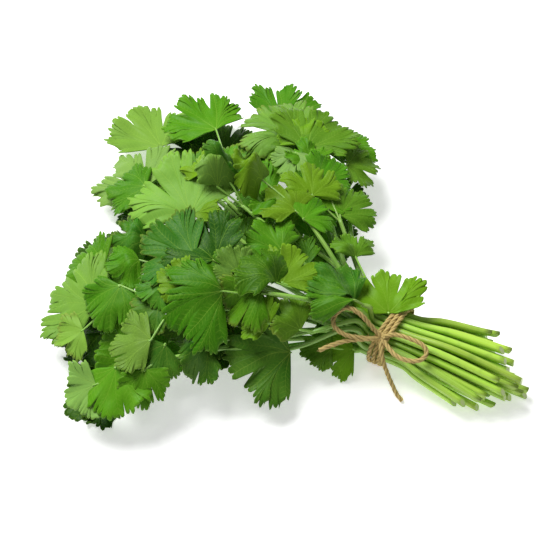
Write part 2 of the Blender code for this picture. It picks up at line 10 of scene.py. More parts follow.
import bpy
import numpy as np
from bpy.props import FloatProperty, FloatVectorProperty, IntProperty, PointerProperty
from bpy.types import Operator, Panel, PropertyGroup
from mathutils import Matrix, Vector


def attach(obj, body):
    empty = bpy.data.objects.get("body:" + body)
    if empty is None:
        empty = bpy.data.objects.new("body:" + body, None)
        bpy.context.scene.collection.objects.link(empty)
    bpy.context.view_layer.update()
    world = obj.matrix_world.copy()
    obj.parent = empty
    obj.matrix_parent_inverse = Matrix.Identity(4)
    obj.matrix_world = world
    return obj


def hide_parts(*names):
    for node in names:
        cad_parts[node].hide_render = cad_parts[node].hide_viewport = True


bl_info = {
    "name": "Tied herb bunch",
    "version": (1, 0, 0),
    "blender": (4, 5, 0),
    "location": "3D View > Sidebar > Herb bunch",
    "description": "Leafy stems, stalks, a twine bow and a studio for a tied bunch of fresh herb",
    "category": "Add Mesh",
}

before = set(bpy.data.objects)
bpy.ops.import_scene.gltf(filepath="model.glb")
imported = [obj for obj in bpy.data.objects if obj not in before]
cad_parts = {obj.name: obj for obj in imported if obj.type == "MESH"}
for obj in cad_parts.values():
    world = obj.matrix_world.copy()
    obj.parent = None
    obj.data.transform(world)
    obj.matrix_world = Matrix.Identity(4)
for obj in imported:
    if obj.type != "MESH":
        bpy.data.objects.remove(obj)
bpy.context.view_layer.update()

MM = 0.001

# Stalks, in millimetres: radii, how a fork stands back from its leaflets, and the first step from the tie
STALK_RADIUS_CUT = 1.9
STALK_RADIUS_TIE = 1.7
STALK_RADIUS_FORK = 1.1
FORK_SETBACK = 13.0
FORK_SHARE = 0.3
FORK_BELOW = 2.5
FIRST_STEP = 9.0
HELD_REACH = 4.5

# The flat stalk of a leaflet, which roots inside the end of the main stalk
BRANCH_HALF_WIDTH = 0.75
BRANCH_ROOT = 2.5
SHORT_BRANCH = 12.0

# How the stalks are packed at the tie, from the lowest row up
ROW_COUNTS = (5, 7, 8, 8, 7, 4)
STALK_SPACING = 4.05
TIE_HALF_LENGTH = 10.0
LOWEST_ROW_Z = 4.0

# Cut ends: their distance from the tie by place across the bundle, and how they spread, stray and lean
CUT_ACROSS = (-14.0, -11.0, -3.0, 0.0, 4.0, 8.0, 14.0)
CUT_REACH = (52.0, 61.0, 75.0, 79.0, 73.0, 62.0, 52.0)
CUT_SHORTER = 0.20
CUT_SPREAD = 1.65
CUT_STRAY = 1.0
CUT_LEAN = 0.03
CUT_ROW_STEP = 3.3

# Leaflets
BLADE_THICKNESS = 0.7
LARGE_BLADE = 32.0
LAYER_GAP = 0.45

# How a leaflet lies: how much of the head's fall it follows, and how its far side leans up per millimetre
FALL_FOLLOWED = 0.5
LEAN_UP = (-0.10, 0.21)

# How each leaflet is bent: the range that each draw comes from
BENDS = (
    ("tilt", (-0.16, 0.14)), ("roll", (-0.20, 0.20)), ("cup", (-0.10, 0.13)), ("droop", (0.00, 0.16)),
    ("wave", (0.6, 1.5)), ("phase", (0, 2 * math.pi)),
)
WAVES_ROUND = 5.0
BLADE_WIDTH = (0.92, 1.12)
TOOTH_REACH = (0.95, 1.05)
TOOTH_TURN = (-1.5, 1.5)
SEEN_FROM_ABOVE = 0.97

# Twine
TWINE_RADIUS = 1.1
TWINE_GAP = 0.35
FLAT_SPOT_DEPTH = 0.25

SEED = 41

# Coarse outline of a leaflet from margin to margin: degrees from the midrib, share of its length
LARGE_OUTLINE = (
    (-80, 0.32), (-66, 0.70), (-58, 0.62), (-44, 0.88), (-24, 0.50), (-15, 0.88), (-9, 0.82), (0, 1.00),
    (9, 0.82), (15, 0.88), (24, 0.50), (44, 0.88), (58, 0.62), (66, 0.70), (80, 0.32),
)
SMALL_OUTLINE = (
    (-78, 0.36), (-60, 0.78), (-40, 0.84), (-24, 0.55), (-12, 0.88), (0, 0.98), (12, 0.88), (24, 0.55),
    (40, 0.84), (60, 0.78), (78, 0.36),
)
LARGE_RING = (-48, 0, 48)
SMALL_RING = (-32, 32)
RING_REACH = 0.4

# Height of the leafy head over the table, by distance from the tie and by turn away from its middle heading
HEAD_HEADING = 176.0
HEAD_DISTANCE = (0, 30, 70, 110, 150, 185, 215)
HEAD_HEIGHT = (27, 34, 50, 56, 44, 20, 8)
HEAD_TURN = (0, 25, 45, 60, 80)
HEAD_SHARE = (1.0, 0.95, 0.7, 0.4, 0.25)

# Leafy stems from the lowest up: share of the head's height, colour, leaflets (x, y, heading, length)
LEAFY_STEMS = (
    # Stems and leaflets in the dark colour are painted with the shade that falls deep in the bunch
    (0.10, "dark", ((-109, -48, 262, 23), (-128, -89, 232, 30), (-128, -88, 196, 28))),
    (0.12, "dark", ((-154, -56, 200, 30), (-145, -65, 236, 27), (-146, -46, 166, 26))),
    (0.12, "dark", ((-164, -18, 186, 29), (-154, -30, 216, 25), (-152, -4, 152, 27))),
    (0.12, "dark", ((-168, 32, 178, 27), (-160, 20, 208, 25), (-158, 46, 140, 29))),
    (0.10, "dark", ((-160, 80, 160, 33), (-150, 66, 192, 27), (-148, 88, 122, 30))),
    (0.10, "dark", ((-112, 100, 124, 31), (-120, 88, 160, 27), (-98, 92, 92, 29))),
    (0.10, "dark", ((-68, 74, 98, 29), (-80, 70, 142, 27), (-59, 50, 66, 23))),
    (0.12, "dark", ((-82, -32, 226, 26), (-71, -30, 262, 21), (-84, -30, 192, 27))),
    (0.12, "dark", ((-100, -42, 242, 23), (-94, -38, 282, 20), (-108, -54, 202, 27))),
    (0.30, "dark", ((-106, 22, 162, 29), (-96, 8, 202, 27), (-92, 36, 118, 27))),
    (0.50, "mid", ((-146, -32, 198, 30), (-136, -46, 228, 27), (-136, -16, 158, 27))),
    (0.50, "mid", ((-142, 44, 166, 31), (-134, 28, 198, 27), (-128, 56, 122, 29))),
    (0.55, "mid", ((-118, -72, 222, 28), (-105, -60, 264, 21))),
    (0.45, "yellow", ((-16, -16, 216, 20), (-27, -21, 206, 19))),
    (0.90, "pale", ((-158, -38, 176, 28), (-150, -60, 176, 37), (-150, -74, 226, 19))),
    (0.95, "mid", ((-120, -89, 285, 29), (-127, -100, 231, 20), (-105, -85, 293, 19), (-101, -70, 264, 19))),
    (0.80, "pale", ((-182, 69, 139, 43), (-169, 29, 145, 39))),
    (0.50, "mid", ((-106, 66, 142, 29), (-98, 52, 176, 27), (-90, 70, 98, 27))),
    (0.85, "olive", ((-103, 98, 170, 43), (-101, 91, 207, 23), (-122, 116, 101, 35))),
    (0.97, "mid", ((-139, -49, 263, 26), (-108, -72, 204, 26), (-113, -53, 233, 19))),
    (0.88, "blue", ((-139, -29, 227, 22), (-142, -16, 200, 24), (-115, -42, 228, 19))),
    (0.55, "mid", ((-106, -8, 182, 29), (-100, -22, 216, 27), (-96, 6, 146, 27))),
    (0.92, "pale", ((-167, 26, 190, 28), (-125, 5, 135, 43), (-126, 6, 77, 21))),
    (0.95, "mid", ((-152, 87, 151, 39), (-126, 25, 117, 19))),
    (0.92, "olive", ((-83, 91, 85, 25), (-73, 100, 70, 25), (-66, 89, 32, 23))),
    (0.96, "blue", ((-108, -22, 179, 36), (-97, -20, 153, 34))),
    (0.95, "blue", ((-115, 29, 106, 19), (-116, 22, 116, 19))),
    (0.97, "yellow", ((-93, 76, 271, 20), (-92, 86, 117, 24), (-90, 84, 92, 39))),
    (0.50, "mid", ((-76, 34, 150, 28), (-66, 36, 104, 24))),
    (0.92, "mid", ((-72, 64, 70, 23), (-62, 47, 90, 19), (-53, 48, 77, 27))),
    (0.96, "mid", ((-83, -24, 189, 20), (-103, -40, 176, 19))),
    (0.70, "dark", ((-44, -38, 216, 40), (-81, -60, 241, 19))),
    (0.97, "yellow", ((-69, 4, 151, 25), (-80, -23, 156, 19))),
    (0.95, "pale", ((-56, -38, 169, 19), (-42, -30, 164, 21))),
    (1.00, "yellow", ((-70, 47, 114, 26), (-67, 28, 77, 22), (-72, 30, 162, 25), (-97, 39, 185, 19))),
    (1.02, "mid", ((-84, -36, 225, 36), (-67, -25, 243, 26))),
    (1.02, "mid", ((-60, -14, 94, 28), (-62, -17, 167, 27))),
    (1.00, "yellow", ((-5, 3, 117, 29), (-34, 26, 130, 19))),
    (1.05, "blue", ((-22, -5, 158, 32), (-21, -7, 198, 31))),
)

# The knot and the bow: (x, y, z) points that the twine follows before it is laid over what is under it
KNOT_AT = (-3.5, -11.8, 26.2)
LEFT_LOOP = (
    (-3.5, -11.8, 27.0), (-9, -11, 30.5), (-17, -11, 33), (-24, -12, 34), (-28.5, -16, 33),
    (-27, -20.5, 32), (-20, -21.5, 31), (-11, -17.5, 29.5), (-4, -12.5, 26.6),
)
LEFT_TAIL = ((-4, -12.2, 26), (-10, -17.5, 29), (-18, -22.5, 29.5), (-25, -28, 28), (-30, -32.5, 26))
RIGHT_LOOP = (
    (-3.2, -11.4, 27.0), (3, -9, 30), (11, -8.5, 31), (19, -9, 30.5), (22.5, -12, 28.5), (20, -16.5, 26.5),
    (12.5, -18.5, 25.5), (5.5, -17, 25.5), (-2.6, -12.4, 26.4),
)
RIGHT_TAIL = (
    (-3.3, -12.6, 26), (-0.5, -17.6, 24), (2.5, -20.8, 19), (6, -22.8, 13), (10, -24.6, 7), (14, -26.8, 2.8),
    (18, -28.5, 1.1),
)

# The turns of twine round the stalks: the sides of each one, its place along the bunch and how it leans
TURN_SIDES = 12
TURN_SLANTS = ((1.6, 0.16), (-0.9, 0.18), (-3.4, 0.20))

# Height map of everything laid so far, and how a path or a leaflet is raised over it
CELL = 1.0
CLOSE_ENOUGH = 0.02
PATH_ROUNDS = 80
BLADE_ROUNDS = 60
PACKED_REACH = 32.0
ROOT_CLEARANCE = 4.0
MAP_LOW = (-240.0, -170.0)
MAP_SHAPE = (350, 330)

# Parts of a margin: end in degrees, reach of the middle tooth, number of teeth, depth of the cut after it
LARGE_PARTS = (
    (-70, 0.68, 2, 0.10), (-54, 0.87, 3, 0.17), (-38, 0.95, 3, 0.13), (-23, 0.90, 2, 0.42),
    (-9, 0.93, 2, 0.14), (9, 1.02, 3, 0.14), (23, 0.92, 2, 0.42),
    (38, 0.90, 2, 0.13), (54, 0.95, 3, 0.17), (70, 0.86, 3, 0.10), (86, 0.68, 2, 0.0),
)
SMALL_PARTS = (
    (-66, 0.70, 2, 0.11), (-45, 0.90, 3, 0.15), (-23, 0.89, 3, 0.36), (-8, 0.92, 2, 0.11), (8, 1.00, 2, 0.11),
    (23, 0.92, 2, 0.36), (45, 0.89, 3, 0.15), (66, 0.90, 3, 0.11), (86, 0.70, 2, 0.0),
)
MARGIN_START = (-86, 0.20)
TOOTH_DEPTH = 0.066
DEEP_CUT = 0.3
SLIT_HALF_ANGLE = 1.3
LOBE_BOUNDS = (-86.0, -24.0, 24.0, 86.0)
LOBE_MIDDLES = (-46.0, 0.0, 46.0)
TOOTH_COLUMNS = ((-1.0, 0.0), (-0.70, 0.72), (0.0, 1.0), (0.70, 0.72))
RINGS = (0.09, 0.20, 0.32, 0.45, 0.58, 0.71, 0.83, 0.93, 1.0)
MARGIN_BLUR = 13
INNER_BLUR = 0.55

# How much the parts of a margin differ: degrees, then shares of reach, of the cut's depth and of its width
PART_STRAY = 1.5
REACH_STRAY = (0.09, 0.02)
CUT_DEPTH_STRAY = (0.35, 0.25)
SLIT_STRAY = (0.6, 1.4)
WIDE_SLIT = 1.6
NARROW_SLIT = 0.7

# How much teeth differ: degrees, how much shorter the outer ones are, shares of reach and of depth
TOOTH_STRAY = 0.8
OUTER_SHORTER = 0.055
PEAK_STRAY = (0.03, 0.015)
NOTCH_STRAY = (0.7, 1.3)
CUT_SHOULDER = 0.45

# How the columns of a lobe gather toward its main vein near the leaf stalk
GATHER = 3.0
GATHER_FALL = 1.1

# Draws, from least to most: how a blade waves, swells and curls, how its teeth and lobes stand
START_TURN = (0, 6.28)
WAVE_TURNS = (2.2, 3.6)
EDGE_TURNS = (8, 12)
SWELL_TURNS = (-0.6, 0.6)
SWELLS = 3
CURL = (-0.7, 1.4)
TOOTH_LIFT = (-1.0, 1.0)
LOBE_FOLD = (-0.5, 1.0)
LOBE_LEAN = (-1.0, 1.0)
LOBE_NOD = (-1.2, 0.8)

# Shares of the ripple and of the fold that each of these takes, and where a blade begins to bend freely
SWELL_SHARE = 0.5
EDGE_SHARE = 0.45
TOOTH_SHARE = 0.9
LEAN_SHARE = 0.7
NOD_SHARE = 0.9
FREE_FROM = 0.28
FREE_OVER = 0.6

# Half widths of lobes and nearness of a main vein in degrees, lengths that fold and vein widths are for
LOBE_HALF_WIDTHS = (41.0, 24.0, 41.0)
MAIN_VEIN_WITHIN = 5
FOLD_LENGTH = 32
VEIN_LENGTH = 36
WIDEST_READ = 8

# The field that carries how the coarse blade lies to the fine one: how soft it is and how much it gives
FIELD_SOFTNESS = 9.0
FIELD_GIVE = 0.15

# Nothing is lower than this over the table: the middle of a blade, its base, and any skin
LOWEST_BLADE = 0.22
LOWEST_BASE = 0.25
LOWEST_SKIN = 0.05

# Leaflets that differ from their stem, both counted from 0: colour, and how much lighter or darker
LEAFLET_LOOKS = {
    (13, 0): ("yellow", 0.05), (13, 1): ("olive", -0.15),
    (14, 0): ("mid", -0.05), (14, 1): ("pale", 0.05), (14, 2): ("pale", 0.05),
    (15, 0): ("mid", 0.08), (15, 1): ("mint", 0.05), (15, 2): ("mid", -0.10), (15, 3): ("dark", 0.50),
    (16, 0): ("pale", 0.0), (16, 1): ("mint", -0.05),
    (18, 0): ("pale", -0.15), (18, 1): ("olive", -0.25), (18, 2): ("mid", 0.0),
    (19, 0): ("mid", -0.12), (19, 1): ("pale", -0.15), (19, 2): ("dark", 0.60),
    (20, 0): ("mid", -0.15), (20, 1): ("blue", -0.05), (20, 2): ("blue", 0.20),
    (22, 0): ("mid", -0.10), (22, 1): ("pale", 0.10), (22, 2): ("yellow", -0.05),
    (23, 0): ("mid", 0.0), (23, 1): ("yellow", 0.05),
    (24, 0): ("mid", 0.0), (24, 1): ("mid", 0.18), (24, 2): ("olive", -0.10),
    (25, 0): ("blue", 0.15), (25, 1): ("blue", -0.25),
    (26, 0): ("blue", 0.05), (26, 1): ("pale", -0.05),
    (27, 0): ("mint", -0.10), (27, 1): ("yellow", -0.12), (27, 2): ("olive", 0.05),
    (29, 0): ("mid", 0.0), (29, 1): ("mid", 0.05), (29, 2): ("olive", -0.10),
    (30, 0): ("mid", -0.15), (30, 1): ("yellow", -0.12),
    (31, 0): ("dark", 0.60), (31, 1): ("dark", 0.30),
    (32, 0): ("mid", 0.12), (32, 1): ("pale", -0.15),
    (33, 0): ("yellow", -0.05), (33, 1): ("olive", 0.0),
    (34, 0): ("yellow", -0.05), (34, 1): ("mid", 0.15), (34, 2): ("yellow", -0.15),
    (34, 3): ("yellow", -0.10),
    (35, 0): ("mid", -0.02), (35, 1): ("mid", -0.05),
    (36, 0): ("yellow", 0.0), (36, 1): ("mid", -0.22),
    (37, 0): ("yellow", 0.15), (37, 1): ("olive", -0.05),
    (38, 0): ("blue", -0.10), (38, 1): ("mid", -0.15),
}
SIDE_LOOK = ("mid", -0.1)

# Leaflets that are seen nearly edge-on, by stem and leaflet: share of their width
NARROW_LEAFLETS = {(38, 0): 0.72, (38, 1): 0.50, (35, 0): 0.85, (35, 1): 0.85}

# Small leaflets low on the stalks where the head would be open: place, heading in degrees, length
SIDE_LEAFLETS = (
    (-58, 55, 140, 21), (-74, 60, 152, 23), (-84, 70, 128, 20), (-78, 29, 155, 24), (-66, 20, 172, 20),
    (-53, 14, 160, 20), (-133, 79, 150, 22), (-62, 38, 140, 22), (-46, 30, 150, 19),
)

# Painted shade in the middle of the head, where its leaflets are coloured deeper green: its place, how far it
# reaches and how much darker it is
SHADED_AT = (-88.0, -4.0)
SHADED_REACH = 32.0
SHADE = 0.26

# Colours that veins, undersides, streaks and worn jute lean toward, how far, and depths of fine relief
PALE_VEIN = (0.42, 0.66, 0.08)
VEIN_PALENESS = 0.46
PALE_UNDERSIDE = (0.26, 0.44, 0.12)
UNDERSIDE_PALENESS = 0.5
VEIN_SHARE = 0.80
PALE_STREAK = (0.56, 0.74, 0.22)
GREEN_MOTTLE = (0.10, 0.30, 0.03)
WORN_JUTE = (0.68, 0.52, 0.26)
LEAF_BUMP = 0.0003
STALK_BUMP = 0.0003
CUT_BUMP = 0.0002
JUTE_BUMP = 0.0004

# First seed of the stems, then draws of each leaflet and stalk: how light, how warm, how dry the tips
FIRST_DRAW = 7000
LEAFLET_LIGHT = (-0.12, 0.12)
LEAFLET_WARM = (-0.25, 0.25)
LEAFLET_DRY = (0.0, 0.0, 0.0, 0.0, 0.0, 0.25)
STALK_LIGHT = (-0.28, 0.22)
STALK_WARM = (-0.4, 0.3)
CUT_SLANT_SHARE = (0.3, 1.2)

# Stalks and leaf stalks: steps of their paths, sides, radii by share of the length, and the slanted cut
STALK_STEPS = 7
STALK_SIDES = 12
LEAF_STALK_STEPS = 6
LEAF_STALK_SHARES = (0, 0.3, 0.9, 1)
LEAF_STALK_RADII = (0.85, 0.62, 0.50, 0.36)
LEAF_STALK_ROOT = 4.0
LEAF_STALK_ONWARD = 1.2
CUT_WITHIN = 0.02
CUT_REACHES = 3.5

# Twine: sides, steps, metres between its rings, lean and least length of fibres, rings of the knot
TWINE_SIDES = 21
TWINE_STEPS = 8
TWINE_SPACING = 0.0005
FIBRE_LEAN = (1.25, 1.25, 3.1)
SHORTEST_FIBRE = 0.4
KNOT_RINGS = ((0.5, 1.0), (-0.6, 0.92))
KNOT_SIDES = 12
KNOT_STEPS = 4
KNOT_SIZE = (1.7, 1.9, 1.6)

# Studio: what the camera looks at, half the table's side in metres, and where the soft light stands
AIM = (-69.8, 3.8, 20.0)
TABLE_REACH = 6.0
KEY_UP = 0.95
KEY_BEHIND = 0.40
KEY_LEFT = 0.42
KEY_DISTANCE = 0.9
KEY_SIZE = 0.60
SENSOR_WIDTH = 36.0
WHITE = (1.0, 1.0, 1.0, 1.0)
CLIP = (0.01, 50.0)


def head_height(x, y):
    """Height of the leafy head's top over a point of the table."""
    distance = np.hypot(x, y)
    turn = np.abs((np.degrees(np.arctan2(y, x)) - HEAD_HEADING + 180) % 360 - 180)
    turn = np.where(np.asarray(x) > 0, 0.0, turn)
    share = np.interp(turn, HEAD_TURN, HEAD_SHARE)
    share = share + (1 - share) * np.clip(1 - distance / 60, 0, 1)
    return np.interp(distance, HEAD_DISTANCE, HEAD_HEIGHT) * share


def widened(heights, reach):
    """The highest value within this many cells of each cell."""
    wide = heights.copy()
    for axis in (0, 1):
        base = wide.copy()
        for step in range(1, reach + 1):
            for way in (-step, step):
                wide = np.maximum(wide, np.roll(base, way, axis))
    return wide


def read_map(heights, xy):
    cells = np.floor((xy - np.array(MAP_LOW)) / CELL).astype(int)
    cells = np.clip(cells, 0, np.array(MAP_SHAPE) - 1)
    return heights[cells[:, 0], cells[:, 1]]


def write_map(heights, points):
    cells = np.floor((points[:, :2] - np.array(MAP_LOW)) / CELL).astype(int)
    cells = np.clip(cells, 0, np.array(MAP_SHAPE) - 1)
    np.maximum.at(heights, (cells[:, 0], cells[:, 1]), points[:, 2])


def tube_samples(path, radii):
    """Points along the top of a tube, from side to side."""
    found = []
    for a, b, ra, rb in zip(path[:-1], path[1:], radii[:-1], radii[1:]):
        count = max(2, int(np.linalg.norm(b - a) / (0.6 * CELL)))
        share = np.linspace(0, 1, count)[:, None]
        centre = a + (b - a) * share
        radius = (ra + (rb - ra) * share)[:, 0]
        along = (b - a)[:2]
        side = np.array((-along[1], along[0])) / max(np.linalg.norm(along), 1e-6)
        for across in (-1.0, -0.6, 0.0, 0.6, 1.0):
            line = centre.copy()
            line[:, :2] += side * radius[:, None] * across
            line[:, 2] += radius * math.sqrt(1 - 0.9 * across * across)
            found.append(line)
    return np.concatenate(found)


def lift_path(path, radii, ground, held):
    """Raises a tube's free points until it clears the ground everywhere. Those before held stay."""
    path = path.copy()
    for _ in range(PATH_ROUNDS):
        lifts = np.zeros(len(path))
        for i in range(len(path) - 1):
            reach = np.linalg.norm(path[i + 1] - path[i])
            share = np.linspace(0, 1, max(4, int(reach / CELL)))
            if i < held:
                share = share[share > min(HELD_REACH / reach, 0.6)]
            line = path[i] + (path[i + 1] - path[i]) * share[:, None]
            radius = radii[i] + (radii[i + 1] - radii[i]) * share
            short = read_map(ground, line[:, :2]) + LAYER_GAP + radius - line[:, 2]
            need = float(short.max())
            if need > CLOSE_ENOUGH:
                at = share[short.argmax()]
                lifts[i] = max(lifts[i], need * (1 - at) + 0.1)
                lifts[i + 1] = max(lifts[i + 1], need * at + 0.1)
        lifts[:held] = 0
        path[:, 2] += lifts
        if not lifts.any():
            break
    return path


def triangle_samples(points, faces):
    """Points spread over each triangle, with the triangle that each is on."""
    spread, owner = [], []
    for number, face in enumerate(faces):
        a, b, c = points[list(face)]
        size = max(np.linalg.norm(b - a), np.linalg.norm(c - a), np.linalg.norm(c - b))
        steps = max(2, int(size / (0.7 * CELL)))
        for i in range(steps + 1):
            j = np.arange(steps + 1 - i)
            u, v = i / steps, j / steps
            spread.append(a + (b - a) * u + (c - a) * v[:, None])
            owner.append(np.full(len(j), number))
    return np.concatenate(spread), np.concatenate(owner)


def blade_sheet(leaflet, draw, mids):
    """A leaflet in the plane of its base: its points, as (along, across), and triangles.

    The first points are pairs down its flat stalk: the root, any in between and the base.
    """
    length = leaflet[3]
    outline, ring = (LARGE_OUTLINE, LARGE_RING) if length >= LARGE_BLADE else (SMALL_OUTLINE, SMALL_RING)
    width = draw.uniform(*BLADE_WIDTH)
    points = [(0.0, side * BRANCH_HALF_WIDTH) for _ in range(mids + 2) for side in (-1, 1)]
    right, left = len(points) - 2, len(points) - 1
    first = len(points)
    for angle, reach in outline:
        reach *= length * draw.uniform(*TOOTH_REACH)
        turn = math.radians(angle + draw.uniform(*TOOTH_TURN)) * width
        points.append((reach * math.cos(turn), reach * math.sin(turn)))
    inner = len(points)
    for angle in ring:
        turn = math.radians(angle) * width
        points.append((length * RING_REACH * math.cos(turn), length * RING_REACH * math.sin(turn)))
    faces = []
    for k in range(0, right, 2):
        faces += [(k, k + 2, k + 3), (k, k + 3, k + 1)]
    faces.append((right, first, inner))
    at = 0
    for k in range(len(outline) - 1):
        middle = (outline[k][0] + outline[k + 1][0]) / 2
        while at + 1 < len(ring) and middle > (ring[at] + ring[at + 1]) / 2:
            faces.append((inner + at, first + k, inner + at + 1))
            at += 1
        faces.append((inner + at, first + k, first + k + 1))
    half = len(ring) // 2
    for k in range(len(ring) - 1):
        faces.append((right if k < half else left, inner + k, inner + k + 1))
    faces.append((right, inner + half, left))
    faces.append((left, inner + len(ring) - 1, inner - 1))
    return np.array(points), faces, width


def nominal_height(leaflet, bend, flat, floored=True):
    """Height over the table of points of a leaflet's plane, before it is laid on what is under it."""
    x, y, heading, length = leaflet
    turn = math.radians(heading)
    along, across = flat[:, 0], flat[:, 1]
    px = x + (along * math.cos(turn) - across * math.sin(turn)) * SEEN_FROM_ABOVE
    py = y + (along * math.sin(turn) + across * math.cos(turn)) * SEEN_FROM_ABOVE
    reach = np.hypot(along, across) / length
    rise = FALL_FOLLOWED * (head_height(px, py) - head_height(x, y))
    height = bend["level"] * (head_height(x, y) + rise) + LEAN_UP[0] * (px - x) + LEAN_UP[1] * (py - y)
    height += bend["tilt"] * along + bend["roll"] * across
    height += bend["wave"] * reach * reach * np.sin(WAVES_ROUND * np.arctan2(across, along) + bend["phase"])
    height += bend["cup"] * across * across / length * 2 - bend["droop"] * along * along / length
    return np.maximum(height, BLADE_THICKNESS / 2) if floored else height


def blade_shape(leaflet, level, draw, stalk):
    """A leaflet as it grows: its points, cupped and tilted over the head's height, and its triangles."""
    x, y, heading, _ = leaflet
    back = stalk[-2] - stalk[-1]
    root = stalk[-1] + back / np.linalg.norm(back) * BRANCH_ROOT
    reach_out = math.hypot(x - root[0], y - root[1])
    mids = 0 if reach_out < SHORT_BRANCH else 1
    flat, faces, width = blade_sheet(leaflet, draw, mids)
    bend = {"level": level, "width": width}
    for key, between in BENDS:
        bend[key] = draw.uniform(*between)
    turn = math.radians(heading)
    along, across = flat[:, 0], flat[:, 1]
    px = x + (along * math.cos(turn) - across * math.sin(turn)) * SEEN_FROM_ABOVE
    py = y + (along * math.sin(turn) + across * math.cos(turn)) * SEEN_FROM_ABOVE
    points = np.stack([px, py, nominal_height(leaflet, bend, flat)], axis=1)
    base = points[2 * mids + 2:2 * mids + 4].mean(axis=0)
    out = (base - root)[:2] / max(reach_out, 1e-6)
    side = np.array((-out[1], out[0], 0.0)) * BRANCH_HALF_WIDTH
    for k in range(mids + 1):
        centre = root + (base - root) * k / (mids + 1)
        points[2 * k] = centre - side
        points[2 * k + 1] = centre + side
    return {
        "leaflet": leaflet, "bend": bend, "mids": mids,
        "flat": flat[2 * mids + 2:], "laid": points, "faces": faces,
    }


def lay_blade(points, faces, ground):
    """Raises a leaflet's points until it clears the ground everywhere. Its root stays in the stalk."""
    points = points.copy()
    table = np.asarray(faces)
    rooted = (table < 2).any(axis=1)
    half = BLADE_THICKNESS / 2
    for _ in range(BLADE_ROUNDS):
        samples, owner = triangle_samples(points, faces)
        short = read_map(ground, samples[:, :2]) + LAYER_GAP + half - samples[:, 2]
        short[rooted[owner] & (np.hypot(*(samples - points[0])[:, :2].T) < ROOT_CLEARANCE)] = 0
        need = np.zeros(len(faces))
        np.maximum.at(need, owner, short)
        if need.max() < CLOSE_ENOUGH:
            break
        lifts = np.zeros(len(points))
        for corner in range(3):
            np.maximum.at(lifts, table[:, corner], need * 0.6 + 0.05 * (need > 0))
        lifts[:2] = 0
        points[:, 2] += lifts
    return points


def curve_between(start, start_way, end, end_way, shares):
    """Points of a smooth path in plan between two places, with the way it runs at each."""
    start, end = np.array(start, float), np.array(end, float)
    reach = np.linalg.norm(end - start) * 0.9
    t = np.asarray(shares)[:, None]
    h00, h10 = 2 * t**3 - 3 * t**2 + 1, t**3 - 2 * t**2 + t
    h01, h11 = -2 * t**3 + 3 * t**2, t**3 - t**2
    leaving, arriving = reach * np.array(start_way), reach * np.array(end_way)
    return h00 * start + h10 * leaving + h01 * end + h11 * arriving


def tie_slots():
    """Where each leafy stem passes through the tie: its row, and its place across the row from the front."""
    slots = {}
    first = 0
    for row, count in enumerate(ROW_COUNTS):
        members = range(first, first + count)
        first += count

        def heading(number):
            leaves = LEAFY_STEMS[number][2]
            return math.atan2(sum(v[1] for v in leaves), -sum(v[0] for v in leaves))

        for place, number in enumerate(sorted(members, key=heading)):
            slots[number] = (row, (place - (count - 1) / 2) * STALK_SPACING)
    return slots


def stalk_path(number, row, across, draw):
    """A stalk's centreline from its cut end through the tie to where it forks, before it is laid."""
    level, _, leaves = LEAFY_STEMS[number]
    tie_z = LOWEST_ROW_Z + row * STALK_SPACING
    length = float(np.interp(across, CUT_ACROSS, CUT_REACH)) * draw.uniform(1 - CUT_SHORTER, 1)
    cut_y = across * CUT_SPREAD + draw.uniform(-CUT_STRAY, CUT_STRAY) + CUT_LEAN * length
    cut_z = STALK_RADIUS_CUT + row * CUT_ROW_STEP
    outward = [
        (length, cut_y, cut_z),
        (length * 0.50, across + (cut_y - across) * 0.42, cut_z + (tie_z - cut_z) * 0.55),
        (TIE_HALF_LENGTH, across, tie_z),
        (-TIE_HALF_LENGTH, across, tie_z),
    ]
    bases = np.array([(v[0], v[1]) for v in leaves], float)
    middle = bases.mean(axis=0)
    away = middle - np.array((-TIE_HALF_LENGTH, across))
    span = np.linalg.norm(away)
    away /= max(span, 1e-6)
    fork = middle - away * min(FORK_SETBACK, span * FORK_SHARE)
    count = 3 if span < 40 else 4 if span < 100 else 5
    share = np.concatenate([[min(FIRST_STEP / span, 0.4)], np.linspace(0, 1, count)[1:]])
    plan = curve_between((-TIE_HALF_LENGTH, across), (-1.0, 0.0), fork, away, share)
    fork_z = max(level * float(head_height(*fork)) - FORK_BELOW, STALK_RADIUS_FORK)
    heights = tie_z + (fork_z - tie_z) * (3 * share**2 - 2 * share**3)
    rise = [(*p, z) for p, z in zip(plan, heights)]
    path = np.array(outward + rise)
    radii = [STALK_RADIUS_CUT, STALK_RADIUS_CUT, STALK_RADIUS_TIE, STALK_RADIUS_TIE]
    radii += list(STALK_RADIUS_TIE + (STALK_RADIUS_FORK - STALK_RADIUS_TIE) * share)
    return path, np.array(radii)


def lay_stalk(path, radii, ground):
    """Lays both free ends of a stalk, which the tie holds in the middle."""
    tie = 3
    head = lift_path(path[tie:], radii[tie:], ground, 1)
    tail = lift_path(path[:tie][::-1], radii[:tie][::-1], ground, 1)[::-1]
    return np.concatenate([tail, head])


def turn_path(slots, offset, slant):
    """One turn of the twine round the stalks: a loop that clears them all, leaning along the bunch."""
    centres = [(across, LOWEST_ROW_Z + row * STALK_SPACING) for row, across in slots.values()]
    clear = STALK_RADIUS_TIE + TWINE_GAP + TWINE_RADIUS
    lines = []
    for k in range(TURN_SIDES):
        turn = 2 * math.pi * k / TURN_SIDES
        way = (math.cos(turn), math.sin(turn))
        lines.append((way, max(c[0] * way[0] + c[1] * way[1] for c in centres) + clear))
    found = []
    lowest = TWINE_RADIUS - FLAT_SPOT_DEPTH
    for (a, da), (b, db) in zip(lines, lines[1:] + lines[:1]):
        det = a[0] * b[1] - a[1] * b[0]
        y = (da * b[1] - db * a[1]) / det
        z = (a[0] * db - b[0] * da) / det
        found.append((offset + slant * y, y, max(z, lowest)))
    return found


